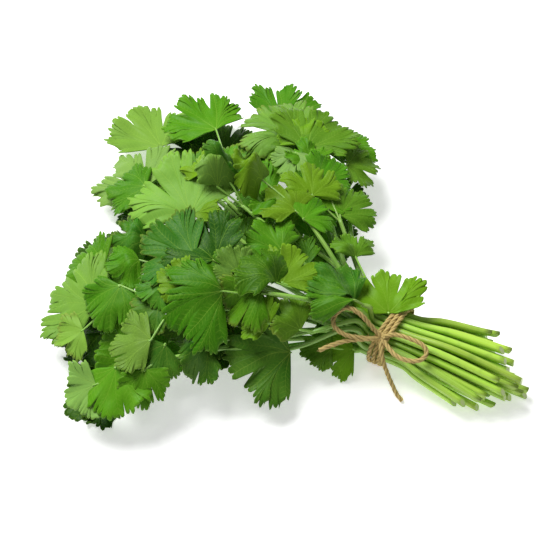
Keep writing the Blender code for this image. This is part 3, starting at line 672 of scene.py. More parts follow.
def band_heights(slots):
    """Height map of the turns of the twine, which a leaflet near the tie lies over."""
    turns = np.full(MAP_SHAPE, -LAYER_GAP)
    for slant in TURN_SLANTS:
        path = turn_path(slots, *slant)
        write_map(turns, tube_samples(np.array(path + path[:1]), np.full(len(path) + 1, TWINE_RADIUS)))
    return widened(turns, 1)


def lay_bow(heights, last_stalk, last_radii):
    """Lays the loops and tails of the bow, which the last stem's leaflets then hang over."""
    ground = heights.copy()
    write_map(ground, tube_samples(last_stalk, last_radii))
    ground = widened(ground, 2)
    routes = []
    for route in (LEFT_LOOP, LEFT_TAIL, RIGHT_LOOP, RIGHT_TAIL):
        path = np.array(route, float)
        radii = np.full(len(path), TWINE_RADIUS)
        path = lift_path(path, radii, ground, 1)
        write_map(heights, tube_samples(path, radii))
        routes.append(path)
    return routes


def plan_bunch():
    """Lays every leafy stem on those below it: their shapes, their places in the tie and the bow's routes."""
    heights = np.full(MAP_SHAPE, -LAYER_GAP)
    slots = tie_slots()
    side = [np.arange(count) * CELL + low for count, low in zip(MAP_SHAPE, MAP_LOW)]
    packed = (side[0][:, None] > 0) | (np.hypot(side[0][:, None], side[1][None, :]) < PACKED_REACH)
    stems = []
    bow = []
    turns = band_heights(slots)
    for number, (level, colour, leaves) in enumerate(LEAFY_STEMS):
        draw = random.Random(SEED * 1000 + number)
        row, across = slots[number]
        near = widened(heights, 1)
        wide = np.where(packed, near, widened(heights, 2))
        path, radii = stalk_path(number, row, across, draw)
        path = lay_stalk(path, radii, wide)
        if number == len(LEAFY_STEMS) - 1:
            bow = lay_bow(heights, path, radii)
            near = widened(heights, 1)
        near = np.maximum(near, turns)
        blades = []
        for leaflet in leaves:
            blade = blade_shape(leaflet, level, draw, path)
            blade["laid"] = lay_blade(blade["laid"], blade["faces"], near)
            blades.append(blade)
        write_map(heights, tube_samples(path, radii))
        for blade in blades:
            samples, _ = triangle_samples(blade["laid"], blade["faces"])
            samples[:, 2] += BLADE_THICKNESS / 2
            write_map(heights, samples)
        stems.append((colour, (path, radii), blades))
    return stems, slots, bow


def colour_property(name, description, value):
    return FloatVectorProperty(
        name=name, description=description, subtype="COLOR", size=3, min=0.0, max=1.0, default=value)


def length_property(label, text, default, low, high):
    return FloatProperty(
        name=label, description=text, default=default, unit="LENGTH", min=low, max=high, precision=5)


def share_property(label, text, default, high):
    return FloatProperty(name=label, description=text, default=default, subtype="FACTOR", min=0.0, max=high)


def plain_property(label, text, default, low, high):
    return FloatProperty(name=label, description=text, default=default, min=low, max=high)


def angle_property(label, text, default):
    return FloatProperty(name=label, description=text, default=default, subtype="ANGLE")


class LeafSizes(PropertyGroup):
    thickness: length_property("Leaf thickness", "Thickness of a leaflet's blade", 0.00034, 0.0001, 0.001)
    ripple: length_property("Margin ripple", "How far a margin waves up and down", 0.0009, 0.0, 0.004)
    fold: length_property("Lobe fold", "How far a lobe folds, leans and nods on its own", 0.0028, 0.0, 0.006)
    quilting: length_property("Quilting", "How far the blade swells between its veins", 0.00008, 0.0, 0.002)
    vein: length_property("Vein width", "Half width of a main vein near the leaf stalk", 0.00036, 0.0, 0.002)
    ragged: share_property("Raggedness", "How much the teeth of leaflets differ from each other", 1.0, 2.0)


class LeafColours(PropertyGroup):
    # The dark colour of leaves deep in the bunch is painted shade under the upper leaves
    dark: colour_property("Dark leaves", "Leaves deep in the bunch", (0.016, 0.080, 0.003))
    mid: colour_property("Middle leaves", "Most of the upper leaves", (0.056, 0.222, 0.002))
    blue: colour_property("Bluish leaves", "Cool green leaves", (0.028, 0.156, 0.006))
    pale: colour_property("Pale leaves", "Young light leaves", (0.160, 0.338, 0.040))
    yellow: colour_property("Yellow-green leaves", "Warm bright leaves", (0.140, 0.320, 0.006))
    olive: colour_property("Olive leaves", "Leaves that turn greyish", (0.084, 0.222, 0.008))
    mint: colour_property("Mint leaves", "Undersides that catch the light", (0.205, 0.390, 0.075))
    brown: colour_property("Dry tips", "Browned tips of the teeth", (0.230, 0.140, 0.045))


class StalkSizes(PropertyGroup):
    ribs: IntProperty(name="Ribs", description="Lengthwise ribs round a stalk", default=5, min=0, max=12)
    rib_depth: share_property("Rib depth", "Depth of the ribs as a share of the radius", 0.07, 0.3)
    cut_slant: angle_property("Cut slant", "How far the cut ends lean from square", 0.7)
    colour: colour_property("Stalks", "Stalks below the tie", (0.440, 0.730, 0.050))
    upper: colour_property("Upper stalks", "Stalks among the leaves", (0.200, 0.460, 0.050))
    cut: colour_property("Cut ends", "Fresh cut of a stalk", (0.560, 0.680, 0.280))


class TwineSizes(PropertyGroup):
    plies: IntProperty(name="Plies", description="Strands twisted into the twine", default=3, min=2, max=5)
    lay: length_property("Lay length", "Length of twine in which a ply goes round once", 0.0110, 0.003, 0.03)
    radius: length_property("Twine radius", "Radius of the twine, loose surface too", 0.00128, 0.0005, 0.003)
    relief: share_property("Ply relief", "Depth between plies as a share of the radius", 0.28, 0.6)
    fibre: length_property("Fibre length", "Length of the loose fibres", 0.0021, 0.0002, 0.004)
    fibre_density: plain_property("Fibre density", "Loose fibres per square millimetre", 0.28, 0.0, 2.0)
    seed: IntProperty(name="Fibre seed", description="Which way the loose fibres fall", default=7, min=0)
    colour: colour_property("Jute", "Lit side of the twine", (0.670, 0.510, 0.185))
    # The crevice colour is painted shade in the hollows between the plies
    crevice: colour_property("Jute crevices", "Between the plies", (0.350, 0.245, 0.080))


class StudioSizes(PropertyGroup):
    lens: plain_property("Lens", "Focal length of the camera in millimetres", 70.0, 10.0, 300.0)
    distance: length_property("Camera distance", "From the camera to the bunch", 0.61, 0.1, 10.0)
    azimuth: angle_property("Azimuth", "Turn of the camera round the bunch", math.radians(25))
    elevation: angle_property("Elevation", "Height of the camera over the table", math.radians(55))
    key: plain_property("Key light", "Power of the large soft light", 12.6, 0.0, 1000.0)
    sky: plain_property("Sky light", "Strength of the light from all round", 0.26, 0.0, 10.0)
    glow: plain_property("Table glow", "How much the lit table shines by itself", 0.46, 0.0, 10.0)
    floor: colour_property("Table", "Plain pale table", (0.93, 0.93, 0.93))


class HerbBunch(PropertyGroup):
    leaf: PointerProperty(type=LeafSizes)
    leaf_colour: PointerProperty(type=LeafColours)
    stalk: PointerProperty(type=StalkSizes)
    twine: PointerProperty(type=TwineSizes)
    studio: PointerProperty(type=StudioSizes)


# Shader helpers

def socket_in(tree, name, kind, value=None):
    made = tree.interface.new_socket(name=name, in_out="INPUT", socket_type=kind)
    if value is not None:
        made.default_value = value
    return made


def socket_out(tree, name, kind):
    return tree.interface.new_socket(name=name, in_out="OUTPUT", socket_type=kind)


def node(tree, kind, **settings):
    made = tree.nodes.new(kind)
    for key, value in settings.items():
        setattr(made, key, value)
    return made


def link(tree, source, target):
    """Sets a socket to a plain value or joins it to another socket."""
    if isinstance(source, (int, float, bool, str)):
        target.default_value = source
    elif isinstance(source, (tuple, list)):
        target.default_value = (*source, 1.0)
    else:
        tree.links.new(source, target)


def maths(tree, operation, a, b=None, clamp=False):
    made = node(tree, "ShaderNodeMath", operation=operation, use_clamp=clamp)
    for place, value in enumerate((a, b)):
        if value is not None:
            link(tree, value, made.inputs[place])
    return made.outputs[0]


def times(tree, a, b, clamp=False):
    return maths(tree, "MULTIPLY", a, b, clamp)


def spread(tree, value, low, high, to_low=0.0, to_high=1.0):
    """Maps a range smoothly onto another."""
    made = node(tree, "ShaderNodeMapRange", interpolation_type="SMOOTHSTEP")
    tree.links.new(value, made.inputs["Value"])
    for name, number in (("From Min", low), ("From Max", high), ("To Min", to_low), ("To Max", to_high)):
        made.inputs[name].default_value = number
    return made.outputs["Result"]


def blend_colours(tree, share, a, b):
    """Mixes two colours: the sockets of a mix node for colours are the first, seventh and eighth."""
    made = node(tree, "ShaderNodeMix", data_type="RGBA")
    for place, value in ((0, share), (6, a), (7, b)):
        link(tree, value, made.inputs[place])
    return made.outputs[2]


def attribute(tree, name, out="Fac"):
    return node(tree, "ShaderNodeAttribute", attribute_name=name).outputs[out]


def noise(tree, coordinates, scale, detail=3.0):
    made = node(tree, "ShaderNodeTexNoise")
    made.inputs["Scale"].default_value = scale
    made.inputs["Detail"].default_value = detail
    tree.links.new(coordinates, made.inputs["Vector"])
    return made.outputs["Fac"]


def varied(tree, colour):
    """A colour made lighter and warmer by what its piece keeps at each point; for a leaflet the lightness
    also holds painted shade.
    """
    made = node(tree, "ShaderNodeHueSaturation")
    tree.links.new(colour, made.inputs["Color"])
    tree.links.new(maths(tree, "ADD", attribute(tree, "light"), 1.0), made.inputs["Value"])
    hue = maths(tree, "ADD", times(tree, attribute(tree, "warm"), 0.025), 0.5)
    tree.links.new(hue, made.inputs["Hue"])
    return made.outputs["Color"]


def skin_group(name, colours, shares=()):
    """An empty shader group with these inputs: the group, what is given to it, and places on the object."""
    tree = bpy.data.node_groups.new(name, "ShaderNodeTree")
    for label in colours:
        socket_in(tree, label, "NodeSocketColor")
    for label in shares:
        socket_in(tree, label, "NodeSocketFloat")
    socket_out(tree, "Colour", "NodeSocketColor")
    socket_out(tree, "Roughness", "NodeSocketFloat")
    socket_out(tree, "Height", "NodeSocketFloat")
    given = node(tree, "NodeGroupInput").outputs
    return tree, given, node(tree, "ShaderNodeTexCoord").outputs["Object"]


def finish_group(tree, colour, roughness, height):
    """Ends a shader group with its three outputs."""
    done = node(tree, "NodeGroupOutput").inputs
    for label, value in (("Colour", colour), ("Roughness", roughness), ("Height", height)):
        tree.links.new(value, done[label])
    return tree


def finish_material(name, group, inputs, bump, strength, specular=0.5):
    """A material whose Principled shader is fed by one of the groups."""
    made = bpy.data.materials.new(name)
    made.use_nodes = True
    tree = made.node_tree
    shader = tree.nodes["Principled BSDF"]
    shader.inputs["Specular IOR Level"].default_value = specular
    skin = node(tree, "ShaderNodeGroup", node_tree=group)
    for key, value in inputs.items():
        link(tree, value, skin.inputs[key])
    relief = node(tree, "ShaderNodeBump")
    relief.inputs["Distance"].default_value = bump
    relief.inputs["Strength"].default_value = strength
    tree.links.new(skin.outputs["Colour"], shader.inputs["Base Color"])
    tree.links.new(skin.outputs["Roughness"], shader.inputs["Roughness"])
    tree.links.new(skin.outputs["Height"], relief.inputs["Height"])
    tree.links.new(relief.outputs["Normal"], shader.inputs["Normal"])
    return made


# Leaf skin

def leaf_skin():
    """Shader group of a leaflet's skin: veins, pale margin, underside, blotches and browned tips."""
    tree = bpy.data.node_groups.get("leaf_skin")
    if tree:
        return tree
    tree, given, place = skin_group(
        "leaf_skin", ("Leaf Colour", "Vein Colour", "Underside Colour", "Tip Colour"), ("Vein Share",))
    # Main veins, side veins that leave them aslant, and the fine net between
    vein = spread(tree, attribute(tree, "vein"), 0.15, 1.15, 1.0, 0.0)
    side = maths(tree, "ABSOLUTE", attribute(tree, "tooth"))
    ladder = maths(tree, "SUBTRACT", times(tree, attribute(tree, "reach_mm"), 0.42), times(tree, side, 1.15))
    rung = maths(tree, "ABSOLUTE", maths(tree, "SUBTRACT", maths(tree, "FRACT", ladder), 0.5))
    fine = times(tree, spread(tree, rung, 0.02, 0.10, 1.0, 0.0), spread(tree, side, 0.98, 0.55, 0.0, 1.0))
    mesh_of_veins = node(tree, "ShaderNodeTexVoronoi", feature="DISTANCE_TO_EDGE")
    mesh_of_veins.inputs["Scale"].default_value = 620.0
    tree.links.new(place, mesh_of_veins.inputs["Vector"])
    net = spread(tree, mesh_of_veins.outputs["Distance"], 0.02, 0.14, 1.0, 0.0)
    lines = maths(tree, "MAXIMUM", vein, times(tree, fine, 0.42))
    lines = maths(tree, "MAXIMUM", lines, times(tree, net, 0.10))
    # The blade's own colour in blotches, then its veins and its pale margin
    blotch = noise(tree, place, 55.0)
    grain = noise(tree, place, 900.0, 2.0)
    lighter = blend_colours(tree, 0.35, given["Leaf Colour"], given["Vein Colour"])
    colour = blend_colours(tree, spread(tree, blotch, 0.25, 0.75, 0.0, 0.5), given["Leaf Colour"], lighter)
    colour = varied(tree, colour)
    colour = blend_colours(tree, times(tree, lines, given["Vein Share"]), colour, given["Vein Colour"])
    rim = attribute(tree, "rim_mm")
    colour = blend_colours(tree, spread(tree, rim, 0.12, 0.75, 0.30, 0.0), colour, given["Vein Colour"])
    # The underside, then the dry tips over both
    under = attribute(tree, "under")
    below = blend_colours(tree, times(tree, lines, 0.5), given["Underside Colour"], given["Vein Colour"])
    colour = blend_colours(tree, times(tree, under, 0.75), colour, below)
    dry = times(tree, attribute(tree, "dry"), spread(tree, rim, 0.3, 2.2, 1.0, 0.0))
    dry = times(tree, dry, spread(tree, blotch, 0.35, 0.6, 0.2, 1.0), clamp=True)
    colour = blend_colours(tree, dry, colour, given["Tip Colour"])
    rough = maths(tree, "ADD", spread(tree, grain, 0.3, 0.7, 0.40, 0.52), times(tree, under, 0.22))
    height = maths(tree, "SUBTRACT", times(tree, grain, 0.12), times(tree, lines, 0.35))
    return finish_group(tree, colour, rough, height)


def toward(colour, other, share):
    return tuple(a + (b - a) * share for a, b in zip(colour, other))


def leaf_material(family):
    """The material of one colour of leaf, made once."""
    name = "leaflet_" + family
    if name in bpy.data.materials:
        return bpy.data.materials[name]
    colours = bpy.context.scene.herb_bunch.leaf_colour
    base = tuple(getattr(colours, family))
    inputs = {
        "Leaf Colour": base,
        "Vein Colour": toward(base, PALE_VEIN, VEIN_PALENESS),
        "Underside Colour": toward(base, PALE_UNDERSIDE, UNDERSIDE_PALENESS),
        "Tip Colour": tuple(colours.brown),
        "Vein Share": VEIN_SHARE,
    }
    return finish_material(name, leaf_skin(), inputs, LEAF_BUMP, 0.35, specular=0.11)


# Stalk skin

def stalk_skin():
    """Shader group of a stalk: lengthwise streaks, paler below the tie and greener among the leaves."""
    tree = bpy.data.node_groups.get("stalk_skin")
    if tree:
        return tree
    tree, given, place = skin_group("stalk_skin", ("Lower Colour", "Upper Colour"))
    # Streaks are noise that is stretched along the stalk: round it closely, along it slowly
    way = node(tree, "ShaderNodeVectorMath", operation="SCALE")
    tree.links.new(attribute(tree, "round_way", "Vector"), way.inputs[0])
    way.inputs["Scale"].default_value = 2.6
    streak_at = node(tree, "ShaderNodeSeparateXYZ")
    tree.links.new(way.outputs[0], streak_at.inputs[0])
    joined = node(tree, "ShaderNodeCombineXYZ")
    tree.links.new(streak_at.outputs[0], joined.inputs[0])
    tree.links.new(streak_at.outputs[1], joined.inputs[1])
    tree.links.new(times(tree, attribute(tree, "along"), 22.0), joined.inputs[2])
    streak = noise(tree, joined.outputs[0], 1.6, 4.0)
    mottle = noise(tree, place, 130.0)
    # Greener toward the leaves, paler toward the cut ends
    across = node(tree, "ShaderNodeSeparateXYZ")
    tree.links.new(place, across.inputs[0])
    lower = spread(tree, across.outputs[0], -0.035, 0.045)
    colour = varied(tree, blend_colours(tree, lower, given["Upper Colour"], given["Lower Colour"]))
    colour = blend_colours(tree, spread(tree, streak, 0.35, 0.70, 0.0, 0.45), colour, PALE_STREAK)
    colour = blend_colours(tree, spread(tree, mottle, 0.55, 0.75, 0.0, 0.30), colour, GREEN_MOTTLE)
    return finish_group(tree, colour, spread(tree, mottle, 0.3, 0.7, 0.24, 0.38), streak)


def stalk_material():
    """The material of stalks and leaf stalks, made once."""
    if "stalk_green" in bpy.data.materials:
        return bpy.data.materials["stalk_green"]
    sizes = bpy.context.scene.herb_bunch.stalk
    inputs = {"Lower Colour": tuple(sizes.colour), "Upper Colour": tuple(sizes.upper)}
    return finish_material("stalk_green", stalk_skin(), inputs, STALK_BUMP, 0.5)


def cut_skin():
    """Shader group of a fresh cut: a pale wet pith with darker dots of cut fibres near its rim."""
    tree = bpy.data.node_groups.get("cut_skin")
    if tree:
        return tree
    tree, given, place = skin_group("cut_skin", ("Pith Colour", "Rind Colour"))
    speckle = noise(tree, place, 1800.0, 2.0)
    rind = spread(tree, attribute(tree, "cut_out"), 0.62, 1.0)
    colour = blend_colours(tree, rind, given["Pith Colour"], given["Rind Colour"])
    dots = times(tree, spread(tree, speckle, 0.52, 0.66), 0.35)
    colour = blend_colours(tree, dots, colour, given["Rind Colour"])
    return finish_group(tree, colour, spread(tree, speckle, 0.3, 0.7, 0.25, 0.5), speckle)


def cut_material():
    """The material of the cut ends, made once."""
    if "stalk_cut" in bpy.data.materials:
        return bpy.data.materials["stalk_cut"]
    sizes = bpy.context.scene.herb_bunch.stalk
    inputs = {"Pith Colour": tuple(sizes.cut), "Rind Colour": tuple(sizes.colour)}
    return finish_material("stalk_cut", cut_skin(), inputs, CUT_BUMP, 0.4)


# Jute skin

def jute_skin():
    """Shader group of jute: fibres along each ply, painted shade in the dark crevices between plies, lighter
    crowns and light worn streaks.
    """
    tree = bpy.data.node_groups.get("jute_skin")
    if tree:
        return tree
    tree, given, place = skin_group("jute_skin", ("Jute Colour", "Crevice Colour"))
    streak_at = node(tree, "ShaderNodeVectorMath", operation="MULTIPLY")
    tree.links.new(attribute(tree, "fibre_way", "Vector"), streak_at.inputs[0])
    streak_at.inputs[1].default_value = (5.0, 5.0, 160.0)
    streak = noise(tree, streak_at.outputs[0], 3.0, 4.0)
    patch = noise(tree, place, 210.0)
    # Painted shade: the crevices between plies take the dark crevice colour, the crowns the jute colour
    crown = spread(tree, attribute(tree, "ply"), 0.10, 0.75)
    colour = blend_colours(tree, crown, given["Crevice Colour"], given["Jute Colour"])
    colour = blend_colours(tree, spread(tree, streak, 0.45, 0.72, 0.0, 0.55), colour, WORN_JUTE)
    worn = spread(tree, patch, 0.50, 0.74, 0.0, 0.28)
    colour = blend_colours(tree, worn, colour, given["Crevice Colour"])
    return finish_group(tree, colour, spread(tree, streak, 0.3, 0.7, 0.75, 0.95), streak)


def jute_material():
    """The material of the twine, made once."""
    if "jute_fibre" in bpy.data.materials:
        return bpy.data.materials["jute_fibre"]
    sizes = bpy.context.scene.herb_bunch.twine
    inputs = {"Jute Colour": tuple(sizes.colour), "Crevice Colour": tuple(sizes.crevice)}
    return finish_material("jute_fibre", jute_skin(), inputs, JUTE_BUMP, 0.8, specular=0.15)


# Leaflets

def lift_field(known, lifts):
    """A smooth field that has these lifts at these places of a leaflet, as weights over the places."""
    count = len(known)
    apart = np.sqrt(((known[:, None] - known[None]) ** 2).sum(axis=2) + FIELD_SOFTNESS)
    plane = np.column_stack([np.ones(count), known])
    system = np.zeros((count + 3, count + 3))
    system[:count, :count] = apart - np.eye(count) * FIELD_GIVE
    system[:count, count:] = plane
    system[count:, :count] = plane.T
    right = np.concatenate([lifts, np.zeros(3)])
    return np.linalg.lstsq(system, right, rcond=None)[0]


def lifted(field, known, places):
    """The lift of that field at other places of the leaflet."""
    apart = np.sqrt(((places[:, None] - known[None]) ** 2).sum(axis=2) + FIELD_SOFTNESS)
    return apart @ field[:len(known)] + field[len(known)] + places @ field[len(known) + 1:]


def margin(length, width, draw, ragged):
    """A leaflet's margin as columns: angle, reach, place across its part, and the part's number."""
    parts = LARGE_PARTS if length >= LARGE_BLADE else SMALL_PARTS
    low, foot = MARGIN_START
    columns = []
    for number, (high, middle_reach, teeth, cut) in enumerate(parts):
        high += draw.uniform(-PART_STRAY, PART_STRAY) * ragged * (number < len(parts) - 1)
        middle_reach *= draw.uniform(1 - REACH_STRAY[0] * ragged, 1 + REACH_STRAY[1] * ragged)
        cut *= draw.uniform(1 - CUT_DEPTH_STRAY[0] * ragged, 1 + CUT_DEPTH_STRAY[1] * ragged)
        after = middle_reach - cut if cut else MARGIN_START[1]
        wide = WIDE_SLIT if cut > DEEP_CUT else NARROW_SLIT
        gap = SLIT_HALF_ANGLE * draw.uniform(*SLIT_STRAY) * wide * bool(cut)
        edges = np.linspace(low, high - gap, teeth + 1)
        edges[1:-1] += [draw.uniform(-TOOTH_STRAY, TOOTH_STRAY) * ragged for _ in range(teeth - 1)]
        for tooth in range(teeth):
            left, right = edges[tooth], edges[tooth + 1]
            off = abs(tooth - (teeth - 1) / 2)
            tip = (left + right) / 2 + draw.uniform(-TOOTH_STRAY, TOOTH_STRAY) * ragged
            peak = middle_reach * (1 - OUTER_SHORTER * off)
            peak *= draw.uniform(1 - PEAK_STRAY[0] * ragged, 1 + PEAK_STRAY[1] * ragged)
            if tooth == teeth - 1:
                end = after + CUT_SHOULDER * cut
            else:
                end = peak - TOOTH_DEPTH * draw.uniform(*NOTCH_STRAY)
            for place, bulge in TOOTH_COLUMNS:
                side, base = (left, foot) if place < 0 else (right, end)
                turn = tip + (side - tip) * abs(place)
                share = 2 * (turn - low) / (high - low) - 1
                columns.append((turn, base + (peak - base) * bulge, share, number))
            foot = end
        if cut:
            columns += [(high - gap, foot, 1.0, number), (high, after, 1.0, number)]
        low = high + gap
    columns.append((high, MARGIN_START[1], 1.0, len(parts) - 1))
    found = np.array(columns)
    found[:, 0] *= width
    found[:, 1] *= length
    return found


def gathered(turn, ring, width):
    """Bends the columns of a lobe toward its middle near the leaf stalk, so that its veins fork there."""
    power = 1 + GATHER * (1 - ring) ** GATHER_FALL
    bent = turn.copy()
    for lobe, middle in enumerate(LOBE_MIDDLES):
        middle *= width
        low, high = LOBE_BOUNDS[lobe] * width, LOBE_BOUNDS[lobe + 1] * width
        sides = ((low, (turn >= low) & (turn <= middle)), (high, (turn > middle) & (turn <= high)))
        for bound, inside in sides:
            share = (turn[inside] - middle) / (bound - middle)
            bent[inside] = middle + (bound - middle) * np.clip(share, 0, 1) ** power
    return bent


def shell_faces_of(count):
    """Faces of a leaflet's shell of so many columns: both skins, then the rim between them."""
    total = 1 + len(RINGS) * count
    faces = [(0, 1 + k, 2 + k) for k in range(count - 1)]
    for ring in range(len(RINGS) - 1):
        at, after = 1 + ring * count, 1 + (ring + 1) * count
        faces += [(at + k, after + k, after + k + 1, at + k + 1) for k in range(count - 1)]
    faces += [tuple(v + total for v in reversed(face)) for face in faces]
    skin = len(faces)
    last = 1 + (len(RINGS) - 1) * count
    border = [0] + [1 + ring * count for ring in range(len(RINGS))]
    border += [last + k for k in range(1, count)]
    border += [1 + ring * count + count - 1 for ring in range(len(RINGS) - 2, -1, -1)]
    faces += [(a, a + total, b + total, b) for a, b in zip(border, border[1:] + border[:1])]
    return faces, skin


def leaf_shell(leaflet, bend, flat, laid, draw, sizes, narrow=1.0):
    """A leaflet's thin closed shell and what its skin reads at each point.

    flat and laid are the coarse blade in its own plane and where it came to lie: the fine one follows both.
    """
    x, y, heading, length = leaflet
    ripple, fold = sizes.ripple / MM, sizes.fold / MM
    columns = margin(length, bend["width"] * narrow, draw, sizes.ragged)
    turn, reach, place, part = columns.T
    blur = np.ones(MARGIN_BLUR) / MARGIN_BLUR
    smooth = np.convolve(np.pad(reach, MARGIN_BLUR // 2, mode="edge"), blur, mode="valid")
    tip_of = [np.flatnonzero(part == number)[np.abs(place[part == number]).argmin()] for number in part]
    tips = np.array(tip_of)
    count = len(columns)
    wave_at, wave_turn = draw.uniform(*START_TURN), draw.uniform(*WAVE_TURNS)
    edge_at, edge_turn = draw.uniform(*START_TURN), draw.uniform(*EDGE_TURNS)
    swells = []
    for _ in range(SWELLS):
        swells.append((draw.uniform(*SWELL_TURNS), draw.uniform(*SWELL_TURNS), draw.uniform(*START_TURN)))
    curl = draw.uniform(*CURL) / MM * sizes.ripple
    lifts = np.array([draw.uniform(*TOOTH_LIFT) for _ in range(int(part.max()) + 1)])[part.astype(int)]
    from_middle = np.abs(columns[tips, 0][:, None] / bend["width"] - np.array(LOBE_MIDDLES)).min(axis=1)
    main_vein = from_middle < MAIN_VEIN_WITHIN
    lobe = np.searchsorted((LOBE_BOUNDS[1] * bend["width"], LOBE_BOUNDS[2] * bend["width"]), turn)
    across = (turn / bend["width"] - np.array(LOBE_MIDDLES)[lobe]) / np.array(LOBE_HALF_WIDTHS)[lobe]
    folds, leans, nods = (
        np.array([draw.uniform(*between) for _ in LOBE_MIDDLES])[lobe]
        for between in (LOBE_FOLD, LOBE_LEAN, LOBE_NOD))
    field = lift_field(flat, laid[:, 2] - nominal_height(leaflet, bend, flat, False))
    rings, looks = [], []
    for ring in RINGS:
        radius = ring * (reach + INNER_BLUR * (1 - ring) * (smooth - reach))
        way = np.radians(gathered(turn, ring, bend["width"]))
        plane = np.column_stack([radius * np.cos(way), radius * np.sin(way)])
        height = nominal_height(leaflet, bend, plane, False) + lifted(field, flat, plane)
        height += sizes.quilting / MM * math.sqrt(ring) * (1 - np.cos(np.pi * np.abs(place))) / 2
        height += ripple * ring ** 3 * np.sin(wave_turn * way * 2 + wave_at)
        for wave_x, wave_y, phase in swells:
            swell = np.sin(plane[:, 0] * wave_x + plane[:, 1] * wave_y + phase)
            height += SWELL_SHARE * ripple * ring * swell
        height += EDGE_SHARE * ripple * ring ** 4 * (np.sin(edge_turn * way + edge_at) + TOOTH_SHARE * lifts)
        height -= curl * ring ** 6
        free = np.clip((radius / length - FREE_FROM) / FREE_OVER, 0, 1)
        bent = folds * np.abs(across) ** 1.2 + LEAN_SHARE * leans * across + NOD_SHARE * nods * free
        height += fold * free * bent * length / FOLD_LENGTH
        from_vein = np.hypot(*(plane - plane[tips]).T)
        taper = np.where(main_vein, (1 - ring) ** 0.8 + 0.30, 0.50 * (1 - ring) + 0.22)
        breadth = sizes.vein / MM * length / VEIN_LENGTH * taper
        rings.append((plane, np.maximum(height, LOWEST_BLADE)))
        looks.append((from_vein / breadth, place, radius, (1 - ring) * reach))
    base = np.zeros((1, 2))
    base_height = nominal_height(leaflet, bend, base, False) + lifted(field, flat, base)
    plane = np.concatenate([base] + [r[0] for r in rings])
    height = np.concatenate([np.maximum(base_height, LOWEST_BASE)] + [r[1] for r in rings])
    angle = math.radians(heading)
    middle = np.column_stack([
        x + (plane[:, 0] * math.cos(angle) - plane[:, 1] * math.sin(angle)) * SEEN_FROM_ABOVE,
        y + (plane[:, 0] * math.sin(angle) + plane[:, 1] * math.cos(angle)) * SEEN_FROM_ABOVE,
        height,
    ])
    half = np.array((0.0, 0.0, sizes.thickness / MM / 2))
    starts = {"vein": 0.0, "tooth": 0.0, "reach_mm": 0.0, "rim_mm": length * 0.5}
    read = {}
    for k, (key, start) in enumerate(starts.items()):
        values = np.concatenate([[start]] + [look[k] for look in looks])
        read[key] = np.concatenate([values, values])
    read["vein"] = np.minimum(read["vein"], WIDEST_READ)
    read["under"] = np.repeat((0.0, 1.0), len(middle))
    faces, skin = shell_faces_of(count)
    return np.concatenate([middle + half, middle - half]), faces, skin, read


# Stalks and twine

def smooth_path(points, steps, closed=False):
    """A smooth curve through the points, in this many steps from each to the next."""
    points = np.asarray(points, float)
    if closed:
        ends = np.concatenate([points[-1:], points, points[:2]])
    else:
        ends = np.concatenate([2 * points[:1] - points[1:2], points, 2 * points[-1:] - points[-2:-1]])
    found = []
    for k in range(len(ends) - 3):
        a, b, c, d = ends[k:k + 4]
        for step in range(steps):
            t = step / steps
            found.append(0.5 * (2 * b + (c - a) * t + (2 * a - 5 * b + 4 * c - d) * t * t
                                + (3 * b - a - 3 * c + d) * t ** 3))
    if not closed:
        found.append(points[-1])
    return np.array(found)


def geometry_tree(name, inputs):
    """An empty tree with these inputs after its geometry, with its ways in and out."""
    tree = bpy.data.node_groups.new(name, "GeometryNodeTree")
    tree.is_modifier = True
    socket_in(tree, "Geometry", "NodeSocketGeometry")
    socket_out(tree, "Geometry", "NodeSocketGeometry")
    for label, kind, value in inputs:
        socket_in(tree, label, kind, value)
    return tree, node(tree, "NodeGroupInput").outputs, node(tree, "NodeGroupOutput").inputs


def stored(tree, geometry, name, kind, value):
    """Keeps a value on the points of the geometry under this name."""
    made = node(tree, "GeometryNodeStoreNamedAttribute", data_type=kind, domain="POINT")
    made.inputs["Name"].default_value = name
    link(tree, geometry, made.inputs["Geometry"])
    link(tree, value, made.inputs["Value"])
    return made.outputs[0]


def round_profile(tree, sides, waves, depth, lobed):
    """A unit circle whose radius waves in and out: ribs of a stalk, or the plies of twine."""
    circle = node(tree, "GeometryNodeCurvePrimitiveCircle", mode="RADIUS")
    link(tree, sides, circle.inputs["Resolution"])
    circle.inputs["Radius"].default_value = 1.0
    share = maths(tree, "DIVIDE", node(tree, "GeometryNodeInputIndex").outputs[0], sides)
    turn = times(tree, times(tree, share, 2 * math.pi), waves)
    if lobed:
        wave = maths(tree, "ABSOLUTE", maths(tree, "SINE", times(tree, turn, 0.5)))
        size = maths(tree, "ADD", times(tree, depth, wave), maths(tree, "SUBTRACT", 1.0, depth))
    else:
        wave = maths(tree, "SINE", turn)
        size = maths(tree, "ADD", times(tree, depth, wave), 1.0)
    place = node(tree, "GeometryNodeInputPosition").outputs[0]
    kept = stored(tree, circle.outputs["Curve"], "round_way", "FLOAT_VECTOR", place)
    kept = stored(tree, kept, "ply", "FLOAT", wave)
    scaled = node(tree, "ShaderNodeVectorMath", operation="SCALE")
    tree.links.new(node(tree, "GeometryNodeInputPosition").outputs[0], scaled.inputs[0])
    tree.links.new(size, scaled.inputs["Scale"])
    moved = node(tree, "GeometryNodeSetPosition")
    tree.links.new(kept, moved.inputs["Geometry"])
    tree.links.new(scaled.outputs[0], moved.inputs["Position"])
    return moved.outputs[0]


def swept(tree, line, profile):
    """Carries the profile along the line, as large as the line's radius."""
    made = node(tree, "GeometryNodeCurveToMesh")
    tree.links.new(line, made.inputs["Curve"])
    tree.links.new(profile, made.inputs["Profile Curve"])
    tree.links.new(node(tree, "GeometryNodeInputRadius").outputs[0], made.inputs["Scale"])
    made.inputs["Fill Caps"].default_value = True
    return made.outputs[0]


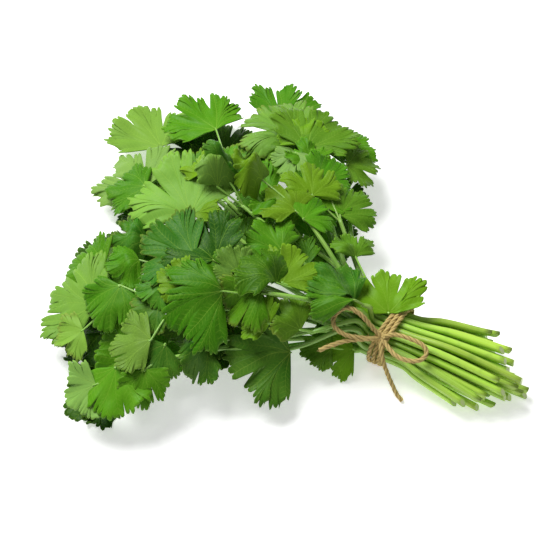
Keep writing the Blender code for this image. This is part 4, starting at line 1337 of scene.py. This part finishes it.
def ended(tree, geometry, material, out):
    """The end of each tree: smooth faces, real geometry and its material."""
    smooth = node(tree, "GeometryNodeSetShadeSmooth")
    tree.links.new(geometry, smooth.inputs["Geometry"])
    real = node(tree, "GeometryNodeRealizeInstances")
    tree.links.new(smooth.outputs[0], real.inputs[0])
    painted = node(tree, "GeometryNodeSetMaterial")
    tree.links.new(real.outputs[0], painted.inputs["Geometry"])
    tree.links.new(material, painted.inputs["Material"])
    tree.links.new(painted.outputs[0], out["Geometry"])


def stalk_tree():
    """Geometry Nodes tree that sweeps a ribbed stalk along each line."""
    tree = bpy.data.node_groups.get("stalk_sweep")
    if tree:
        return tree
    tree, given, out = geometry_tree("stalk_sweep", (
        ("Sides", "NodeSocketInt", STALK_SIDES), ("Ribs", "NodeSocketFloat", 5.0),
        ("Rib Depth", "NodeSocketFloat", 0.06), ("Material", "NodeSocketMaterial", None),
    ))
    length = node(tree, "GeometryNodeSplineParameter").outputs["Length"]
    line = stored(tree, given["Geometry"], "along", "FLOAT", length)
    profile = round_profile(tree, given["Sides"], given["Ribs"], given["Rib Depth"], False)
    ended(tree, swept(tree, line, profile), given["Material"], out)
    return tree


def twine_tree():
    """Geometry Nodes tree that twists plies along each line and scatters loose fibres over them."""
    tree = bpy.data.node_groups.get("twine_sweep")
    if tree:
        return tree
    tree, given, out = geometry_tree("twine_sweep", (
        ("Sides", "NodeSocketInt", TWINE_SIDES), ("Plies", "NodeSocketFloat", 3.0),
        ("Relief", "NodeSocketFloat", 0.3), ("Turns per Metre", "NodeSocketFloat", 120.0),
        ("Spacing", "NodeSocketFloat", TWINE_SPACING), ("Fibre Length", "NodeSocketFloat", 0.0012),
        ("Fibre Density", "NodeSocketFloat", 400000.0),
        ("Seed", "NodeSocketInt", 7), ("Material", "NodeSocketMaterial", None),
    ))
    spaced = node(tree, "GeometryNodeResampleCurve", mode="LENGTH")
    tree.links.new(given["Geometry"], spaced.inputs["Curve"])
    tree.links.new(given["Spacing"], spaced.inputs["Length"])
    length = node(tree, "GeometryNodeSplineParameter").outputs["Length"]
    turned = node(tree, "GeometryNodeSetCurveTilt")
    tree.links.new(spaced.outputs[0], turned.inputs["Curve"])
    tilt = times(tree, times(tree, length, given["Turns per Metre"]), 2 * math.pi)
    tree.links.new(tilt, turned.inputs["Tilt"])
    line = stored(tree, turned.outputs[0], "along", "FLOAT", length)
    profile = round_profile(tree, given["Sides"], given["Plies"], given["Relief"], True)
    rope = swept(tree, line, profile)
    scatter = node(tree, "GeometryNodeDistributePointsOnFaces", distribute_method="RANDOM")
    tree.links.new(rope, scatter.inputs["Mesh"])
    tree.links.new(given["Fibre Density"], scatter.inputs["Density"])
    tree.links.new(given["Seed"], scatter.inputs["Seed"])
    hair = node(tree, "GeometryNodeMeshCone")
    for label, value in (
        ("Vertices", 3), ("Side Segments", 1), ("Radius Top", 0.012), ("Radius Bottom", 0.045),
        ("Depth", 1.0),
    ):
        hair.inputs[label].default_value = value
    tip = node(tree, "FunctionNodeRandomValue", data_type="FLOAT_VECTOR")
    tip.inputs["Min"].default_value = tuple(-v for v in FIBRE_LEAN)
    tip.inputs["Max"].default_value = FIBRE_LEAN
    tree.links.new(given["Seed"], tip.inputs["Seed"])
    lean = node(tree, "FunctionNodeRotateRotation", rotation_space="LOCAL")
    tree.links.new(scatter.outputs["Rotation"], lean.inputs["Rotation"])
    tree.links.new(tip.outputs[0], lean.inputs["Rotate By"])
    long = node(tree, "FunctionNodeRandomValue", data_type="FLOAT")
    long.inputs[2].default_value = SHORTEST_FIBRE
    long.inputs[3].default_value = 1.0
    size = times(tree, long.outputs[1], given["Fibre Length"])
    whole = node(tree, "ShaderNodeCombineXYZ")
    for place in range(3):
        tree.links.new(size, whole.inputs[place])
    placed = node(tree, "GeometryNodeInstanceOnPoints")
    tree.links.new(scatter.outputs["Points"], placed.inputs["Points"])
    tree.links.new(hair.outputs["Mesh"], placed.inputs["Instance"])
    tree.links.new(lean.outputs[0], placed.inputs["Rotation"])
    tree.links.new(whole.outputs[0], placed.inputs["Scale"])
    joined = node(tree, "GeometryNodeJoinGeometry")
    tree.links.new(placed.outputs[0], joined.inputs[0])
    tree.links.new(rope, joined.inputs[0])
    ended(tree, joined.outputs[0], given["Material"], out)
    return tree


def along_lines(name, lines, tree, values):
    """Runs a tree over lines of (points, radii, closed) in millimetres and gives the plain mesh."""
    curve = bpy.data.curves.new(name, "CURVE")
    curve.dimensions = "3D"
    curve.twist_mode = "MINIMUM"
    for points, radii, closed in lines:
        spline = curve.splines.new("POLY")
        spline.points.add(len(points) - 1)
        for point, place, radius in zip(spline.points, points, radii):
            point.co = (*(float(v) * MM for v in place), 1.0)
            point.radius = float(radius) * MM
        spline.use_cyclic_u = closed
    helper = bpy.data.objects.new(name, curve)
    bpy.context.scene.collection.objects.link(helper)
    run = helper.modifiers.new("sweep", "NODES")
    run.node_group = tree
    named = {item.name: item.identifier for item in tree.interface.items_tree if item.in_out == "INPUT"}
    for key, value in values.items():
        run[named[key]] = value
    graph = bpy.context.evaluated_depsgraph_get()
    mesh = bpy.data.meshes.new_from_object(
        helper.evaluated_get(graph), preserve_all_data_layers=True, depsgraph=graph)
    bpy.data.objects.remove(helper)
    bpy.data.curves.remove(curve)
    mesh.name = name
    return mesh


def mesh_arrays(mesh):
    """Points in millimetres and faces as tuples of a plain mesh."""
    points = np.empty(len(mesh.vertices) * 3)
    mesh.vertices.foreach_get("co", points)
    faces = [tuple(face.vertices) for face in mesh.polygons]
    return points.reshape(-1, 3) / MM, faces


def read_attribute(mesh, name, width):
    """What a mesh keeps at its points under this name: numbers, or rows of so many numbers."""
    layer = mesh.attributes.get(name)
    count = len(mesh.vertices)
    if layer is None:
        return np.zeros((count, width)) if width > 1 else np.zeros(count)
    values = np.empty(count * width, np.float32)
    layer.data.foreach_get("vector" if width > 1 else "value", values)
    return values.reshape(count, width) if width > 1 else values


def piece(name, points, faces, flat_faces, slots, used, layers):
    """A finished piece: its mesh in millimetres, its materials by face and the values its skins read."""
    mesh = bpy.data.meshes.new(name)
    mesh.from_pydata([tuple(p) for p in np.asarray(points) * MM], [], faces)
    for made in slots:
        mesh.materials.append(made)
    mesh.polygons.foreach_set("material_index", np.asarray(used, np.int32))
    mesh.polygons.foreach_set("use_smooth", ~np.asarray(flat_faces, bool))
    for key, values in layers.items():
        values = np.asarray(values, np.float32)
        kind = "FLOAT_VECTOR" if values.ndim == 2 else "FLOAT"
        layer = mesh.attributes.new(key, kind, "POINT")
        layer.data.foreach_set("vector" if values.ndim == 2 else "value", values.ravel())
    mesh.validate()
    mesh.update()
    obj = bpy.data.objects.new(name, mesh)
    bpy.context.scene.collection.objects.link(obj)
    return obj


def leaf_stalk_line(blade, stalk):
    """The round stalk of a leaflet, from inside the main stalk to the blade's base."""
    points = blade["laid"]
    mids = blade["mids"]
    centres = [points[2 * k:2 * k + 2].mean(axis=0) for k in range(mids + 2)]
    back = stalk[-2] - stalk[-1]
    centres.insert(0, stalk[-1] + back / np.linalg.norm(back) * (BRANCH_ROOT + LEAF_STALK_ROOT))
    heading = math.radians(blade["leaflet"][2])
    onward = centres[-1] + np.array((math.cos(heading), math.sin(heading), 0.0)) * LEAF_STALK_ONWARD
    line = smooth_path(centres + [onward], LEAF_STALK_STEPS)
    radii = np.interp(np.linspace(0, 1, len(line)), LEAF_STALK_SHARES, LEAF_STALK_RADII)
    return line, radii, False


def slanted_cut(points, start, way, slant):
    """Slants the cut end of a stalk: its end ring slides along the stalk by how high it is."""
    near = np.abs((points - start) @ way) < CUT_WITHIN
    near &= np.linalg.norm(points - start, axis=1) < CUT_REACHES
    up = np.array((0.0, 0.0, 1.0)) - way * way[2]
    points[near] += way * ((points[near] - start) @ up)[:, None] * math.tan(slant)
    return near


def side_leaflets(number, model):
    """The small leaflets that grow from the side of this stem's stalk, each as a blade of its own."""
    paths = [path for _, (path, _), _ in BUNCH["stems"]]
    found = []
    for x, y, heading, length in SIDE_LEAFLETS:
        gaps = [np.hypot(*(path[:, :2] - (x, y)).T) for path in paths]
        if int(np.argmin([gap.min() for gap in gaps])) != number:
            continue
        base = paths[number][int(np.argmin(gaps[number]))]
        leaflet = (base[0], base[1], heading, length)
        bend = dict(model["bend"], level=0.0)
        flat = model["flat"] * (length / model["leaflet"][3])
        start = nominal_height(leaflet, bend, np.zeros((1, 2)), False)[0]
        height = nominal_height(leaflet, bend, flat, False) + base[2] - start
        found.append((leaflet, bend, flat, np.column_stack([flat, height])))
    return found


def cut_faces(points, faces, ring):
    """Splits each cut end into triangles round its middle: the points and faces, then the cut's own."""
    middles, whole, split = [], [], []
    for face in faces:
        if len(face) > 4 and ring[list(face)].all():
            middle = len(points) + len(middles)
            middles.append(points[list(face)].mean(axis=0))
            split += [(a, b, middle) for a, b in zip(face, face[1:] + face[:1])]
        else:
            whole.append(face)
    if middles:
        points = np.concatenate([points, np.array(middles)])
    return points, whole, split


def joined_looks(layers, points):
    """One array for each look over all points: a part that lacks a look reads nothing there."""
    merged = {}
    for key in sorted({key for looks in layers for key in looks}):
        wide = any(looks[key].ndim == 2 for looks in layers if key in looks)
        parts = []
        for looks, part in zip(layers, points):
            empty = np.zeros((len(part), 3)) if wide else np.zeros(len(part))
            parts.append(looks.get(key, empty))
        merged[key] = np.concatenate(parts)
    return merged


def stem_tubes(number, stem, draw):
    """The ribbed stalk and leaf stalks of a stem: points, faces, faces of the cut, and looks."""
    _, (path, radii), blades = stem
    sizes = bpy.context.scene.herb_bunch.stalk
    stalk = smooth_path(path, STALK_STEPS)
    widths = np.interp(np.linspace(0, len(radii) - 1, len(stalk)), np.arange(len(radii)), radii)
    lines = [(stalk, widths, False)] + [leaf_stalk_line(blade, path) for blade in blades]
    mesh = along_lines(f"stalk_{number}", lines, stalk_tree(), {
        "Sides": STALK_SIDES, "Ribs": float(sizes.ribs), "Rib Depth": sizes.rib_depth,
        "Material": stalk_material(),
    })
    tube, faces = mesh_arrays(mesh)
    tube[:, 2] = np.maximum(tube[:, 2], LOWEST_SKIN)
    way = stalk[1] - stalk[0]
    way /= np.linalg.norm(way)
    slant = sizes.cut_slant * draw.uniform(*CUT_SLANT_SHARE) * draw.choice((-1, 1))
    ring = slanted_cut(tube, stalk[0], way, slant)
    looks = {"along": read_attribute(mesh, "along", 1), "round_way": read_attribute(mesh, "round_way", 3)}
    looks["light"] = np.full(len(tube), draw.uniform(*STALK_LIGHT))
    looks["warm"] = np.full(len(tube), draw.uniform(*STALK_WARM))
    looks["cut_out"] = ring.astype(float)
    bpy.data.meshes.remove(mesh)
    tube, whole, split = cut_faces(tube, faces, ring)
    for key, values in looks.items():
        extra = np.zeros((len(tube) - len(values), *values.shape[1:]))
        looks[key] = np.concatenate([values, extra])
    return tube, whole, split, looks


def dress_stem(number, stem):
    """One leafy stem: fine leaflets, leaf stalks and the ribbed stalk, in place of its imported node."""
    colour, _, blades = stem
    sizes = bpy.context.scene.herb_bunch.leaf
    draw = random.Random(FIRST_DRAW + number)
    families = [colour]
    points, faces, flats, used, layers = [], [], [], [], []
    total = 0
    grown = [
        (blade["leaflet"], blade["bend"], blade["flat"], blade["laid"][2 * blade["mids"] + 2:])
        for blade in blades
    ]
    own = [(colour, 0.0)] * len(grown)
    small = side_leaflets(number, blades[0])
    own += [SIDE_LOOK] * len(small)
    for place, (leaflet, bend, flat, laid) in enumerate(grown + small):
        family, light = LEAFLET_LOOKS.get((number, place), own[place])
        if family not in families:
            families.append(family)
        narrow = NARROW_LEAFLETS.get((number, place), 1.0)
        shell, shell_faces, skin, looks = leaf_shell(leaflet, bend, flat, laid, draw, sizes, narrow)
        # Painted shade: leaflets near the middle of the head are coloured darker by SHADE
        middle = shell.mean(axis=0)[:2]
        near = np.exp(-0.5 * ((middle - SHADED_AT) ** 2).sum() / SHADED_REACH ** 2)
        looks["light"] = np.full(len(shell), light - SHADE * near + draw.uniform(*LEAFLET_LIGHT))
        looks["warm"] = np.full(len(shell), draw.uniform(*LEAFLET_WARM))
        looks["dry"] = np.full(len(shell), draw.choice(LEAFLET_DRY))
        points.append(shell)
        faces += [tuple(v + total for v in face) for face in shell_faces]
        flats += [False] * skin + [True] * (len(shell_faces) - skin)
        used += [families.index(family)] * len(shell_faces)
        layers.append(looks)
        total += len(shell)
    tube, whole, split, looks = stem_tubes(number, stem, draw)
    faces += [tuple(v + total for v in face) for face in whole + split]
    flats += [len(face) > 4 for face in whole] + [True] * len(split)
    used += [len(families)] * len(whole) + [len(families) + 1] * len(split)
    points.append(tube)
    layers.append(looks)
    name = f"leafy_stem_{number + 1:02d}"
    slots = [leaf_material(family) for family in families] + [stalk_material(), cut_material()]
    obj = piece(
        "dressed_" + name[-2:] + "_leaves", np.concatenate(points), faces, flats, slots, used,
        joined_looks(layers, points))
    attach(obj, "root")
    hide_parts(name)
    return obj


def twine_piece(name, lines):
    """Twine along these lines, twisted and hairy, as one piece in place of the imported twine."""
    sizes = bpy.context.scene.herb_bunch.twine
    mesh = along_lines(name, lines, twine_tree(), {
        "Sides": TWINE_SIDES, "Plies": float(sizes.plies), "Relief": sizes.relief,
        "Turns per Metre": 1.0 / sizes.lay, "Spacing": TWINE_SPACING, "Fibre Length": sizes.fibre,
        "Fibre Density": sizes.fibre_density * 1e6, "Seed": sizes.seed, "Material": jute_material(),
    })
    way = read_attribute(mesh, "round_way", 3)
    way[:, 2] = read_attribute(mesh, "along", 1)
    place = np.empty(len(mesh.vertices) * 3, np.float32)
    mesh.vertices.foreach_get("co", place)
    place[2::3] = np.maximum(place[2::3], LOWEST_SKIN * MM)
    mesh.vertices.foreach_set("co", place)
    layer = mesh.attributes.new("fibre_way", "FLOAT_VECTOR", "POINT")
    layer.data.foreach_set("vector", way.ravel())
    obj = bpy.data.objects.new(name, mesh)
    bpy.context.scene.collection.objects.link(obj)
    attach(obj, "root")
    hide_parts("twine_tie")
    return obj


def knot_ring(lean, reach):
    """A closed turn of twine in the knot, leant and narrowed by these shares."""
    wide, deep, high = KNOT_SIZE
    ring = []
    for k in range(KNOT_SIDES):
        turn = 2 * math.pi * k / KNOT_SIDES
        out = wide * math.cos(turn)
        ring.append(np.array(KNOT_AT) + np.array((
            out + lean * math.sin(turn), deep * math.sin(turn) * reach, high * math.sin(turn) + out * lean)))
    return smooth_path(ring, KNOT_STEPS, closed=True)


# Operators

class HERB_OT_leafy_stems(Operator):
    """Dresses every leafy stem: toothed leaflets, leaf stalks and ribbed stalks"""
    bl_idname = "herb.leafy_stems"
    bl_label = "Leafy stems"

    def execute(self, context):
        for number, stem in enumerate(BUNCH["stems"]):
            dress_stem(number, stem)
        return {"FINISHED"}


class HERB_OT_twine_band(Operator):
    """Winds the twine round the stalks and ties its knot"""
    bl_idname = "herb.twine_band"
    bl_label = "Twine band and knot"

    def execute(self, context):
        radius = context.scene.herb_bunch.twine.radius / MM
        turns = [
            smooth_path(turn_path(BUNCH["slots"], *slant), TWINE_STEPS, closed=True) for slant in TURN_SLANTS
        ]
        turns += [knot_ring(lean, reach) for lean, reach in KNOT_RINGS]
        lines = [(turn, np.full(len(turn), radius), True) for turn in turns]
        twine_piece("twine_band", lines)
        return {"FINISHED"}


class HERB_OT_twine_bow(Operator):
    """Lays the two loops and the two loose ends of the bow"""
    bl_idname = "herb.twine_bow"
    bl_label = "Twine bow"

    def execute(self, context):
        radius = context.scene.herb_bunch.twine.radius / MM
        left_loop, left_tail, right_loop, right_tail = BUNCH["bow"]
        for side, loop, tail in (("left", left_loop, left_tail), ("right", right_loop, right_tail)):
            path = smooth_path(np.concatenate([loop, tail[1:]]), TWINE_STEPS)
            widths = np.full(len(path), radius)
            obj = twine_piece("twine_bow_" + side, [(path, widths, False)])
        return {"FINISHED"}


def soft_light(name, place, aim, size, power):
    """A round light of this size and power that looks at the aim."""
    data = bpy.data.lights.new(name, "AREA")
    data.shape = "DISK"
    data.size = size
    data.energy = power
    obj = bpy.data.objects.new(name, data)
    obj.location = place
    obj.rotation_euler = (aim - place).to_track_quat("-Z", "Y").to_euler()
    bpy.context.scene.collection.objects.link(obj)
    return obj


def table_top(sizes):
    """The plain table that the bunch lies on."""
    mesh = bpy.data.meshes.new("table_top")
    corners = [(-1, -1), (1, -1), (1, 1), (-1, 1)]
    mesh.from_pydata([(x * TABLE_REACH, y * TABLE_REACH, 0) for x, y in corners], [], [(0, 1, 2, 3)])
    table = bpy.data.objects.new("table_top", mesh)
    bpy.context.scene.collection.objects.link(table)
    made = bpy.data.materials.new("table_white")
    made.use_nodes = True
    shader = made.node_tree.nodes["Principled BSDF"]
    shader.inputs["Base Color"].default_value = (*sizes.floor, 1.0)
    shader.inputs["Roughness"].default_value = 0.9
    shader.inputs["Specular IOR Level"].default_value = 0.1
    shader.inputs["Emission Color"].default_value = WHITE
    shader.inputs["Emission Strength"].default_value = sizes.glow
    mesh.materials.append(made)


class HERB_OT_studio(Operator):
    """Sets out the table, the soft light, the even sky and the camera"""
    bl_idname = "herb.studio"
    bl_label = "Studio"

    def execute(self, context):
        sizes = context.scene.herb_bunch.studio
        table_top(sizes)
        world = bpy.data.worlds.new("studio_sky")
        world.use_nodes = True
        back = world.node_tree.nodes["Background"]
        back.inputs["Color"].default_value = WHITE
        back.inputs["Strength"].default_value = sizes.sky
        context.scene.world = world
        a, e = sizes.azimuth, sizes.elevation
        aim = Vector(AIM) * MM
        behind = Vector((-math.sin(a), math.cos(a), 0))
        left = Vector((-math.cos(a), -math.sin(a), 0))
        up = Vector((0, 0, 1))
        key = aim + (up * KEY_UP + behind * KEY_BEHIND + left * KEY_LEFT) * KEY_DISTANCE
        soft_light("key_light", key, aim, KEY_SIZE, sizes.key)
        data = bpy.data.cameras.new("studio_camera")
        data.lens = sizes.lens
        data.sensor_width = SENSOR_WIDTH
        data.clip_start, data.clip_end = CLIP
        camera = bpy.data.objects.new("studio_camera", data)
        way = Vector((math.sin(a) * math.cos(e), -math.cos(a) * math.cos(e), math.sin(e)))
        camera.location = aim + way * sizes.distance
        camera.rotation_euler = (-way).to_track_quat("-Z", "Y").to_euler()
        context.scene.collection.objects.link(camera)
        context.scene.camera = camera
        context.scene.view_settings.view_transform = "Standard"
        return {"FINISHED"}


class HERB_PT_bunch(Panel):
    """Lists what the herb bunch is made of, with its sizes and colours"""
    bl_idname = "HERB_PT_bunch"
    bl_label = "Herb bunch"
    bl_space_type = "VIEW_3D"
    bl_region_type = "UI"
    bl_category = "Herb bunch"

    def draw(self, context):
        sizes = context.scene.herb_bunch
        for operator in OPERATORS:
            self.layout.operator(operator.bl_idname)
        for group in (sizes.leaf, sizes.leaf_colour, sizes.stalk, sizes.twine, sizes.studio):
            box = self.layout.box()
            for key in group.bl_rna.properties.keys():
                if key not in ("rna_type", "name"):
                    box.prop(group, key)


OPERATORS = (HERB_OT_leafy_stems, HERB_OT_twine_band, HERB_OT_twine_bow, HERB_OT_studio)
CLASSES = (LeafSizes, LeafColours, StalkSizes, TwineSizes, StudioSizes, HerbBunch, *OPERATORS, HERB_PT_bunch)
BUNCH = {}


def register():
    for made in CLASSES:
        bpy.utils.register_class(made)
    bpy.types.Scene.herb_bunch = PointerProperty(type=HerbBunch)


def unregister():
    del bpy.types.Scene.herb_bunch
    for made in reversed(CLASSES):
        bpy.utils.unregister_class(made)


def main():
    register()
    stems, slots, bow = plan_bunch()
    BUNCH.update(stems=stems, slots=slots, bow=bow)
    bpy.ops.herb.leafy_stems()
    bpy.ops.herb.twine_band()
    bpy.ops.herb.twine_bow()
    bpy.ops.herb.studio()


if __name__ == "__main__":
    main()
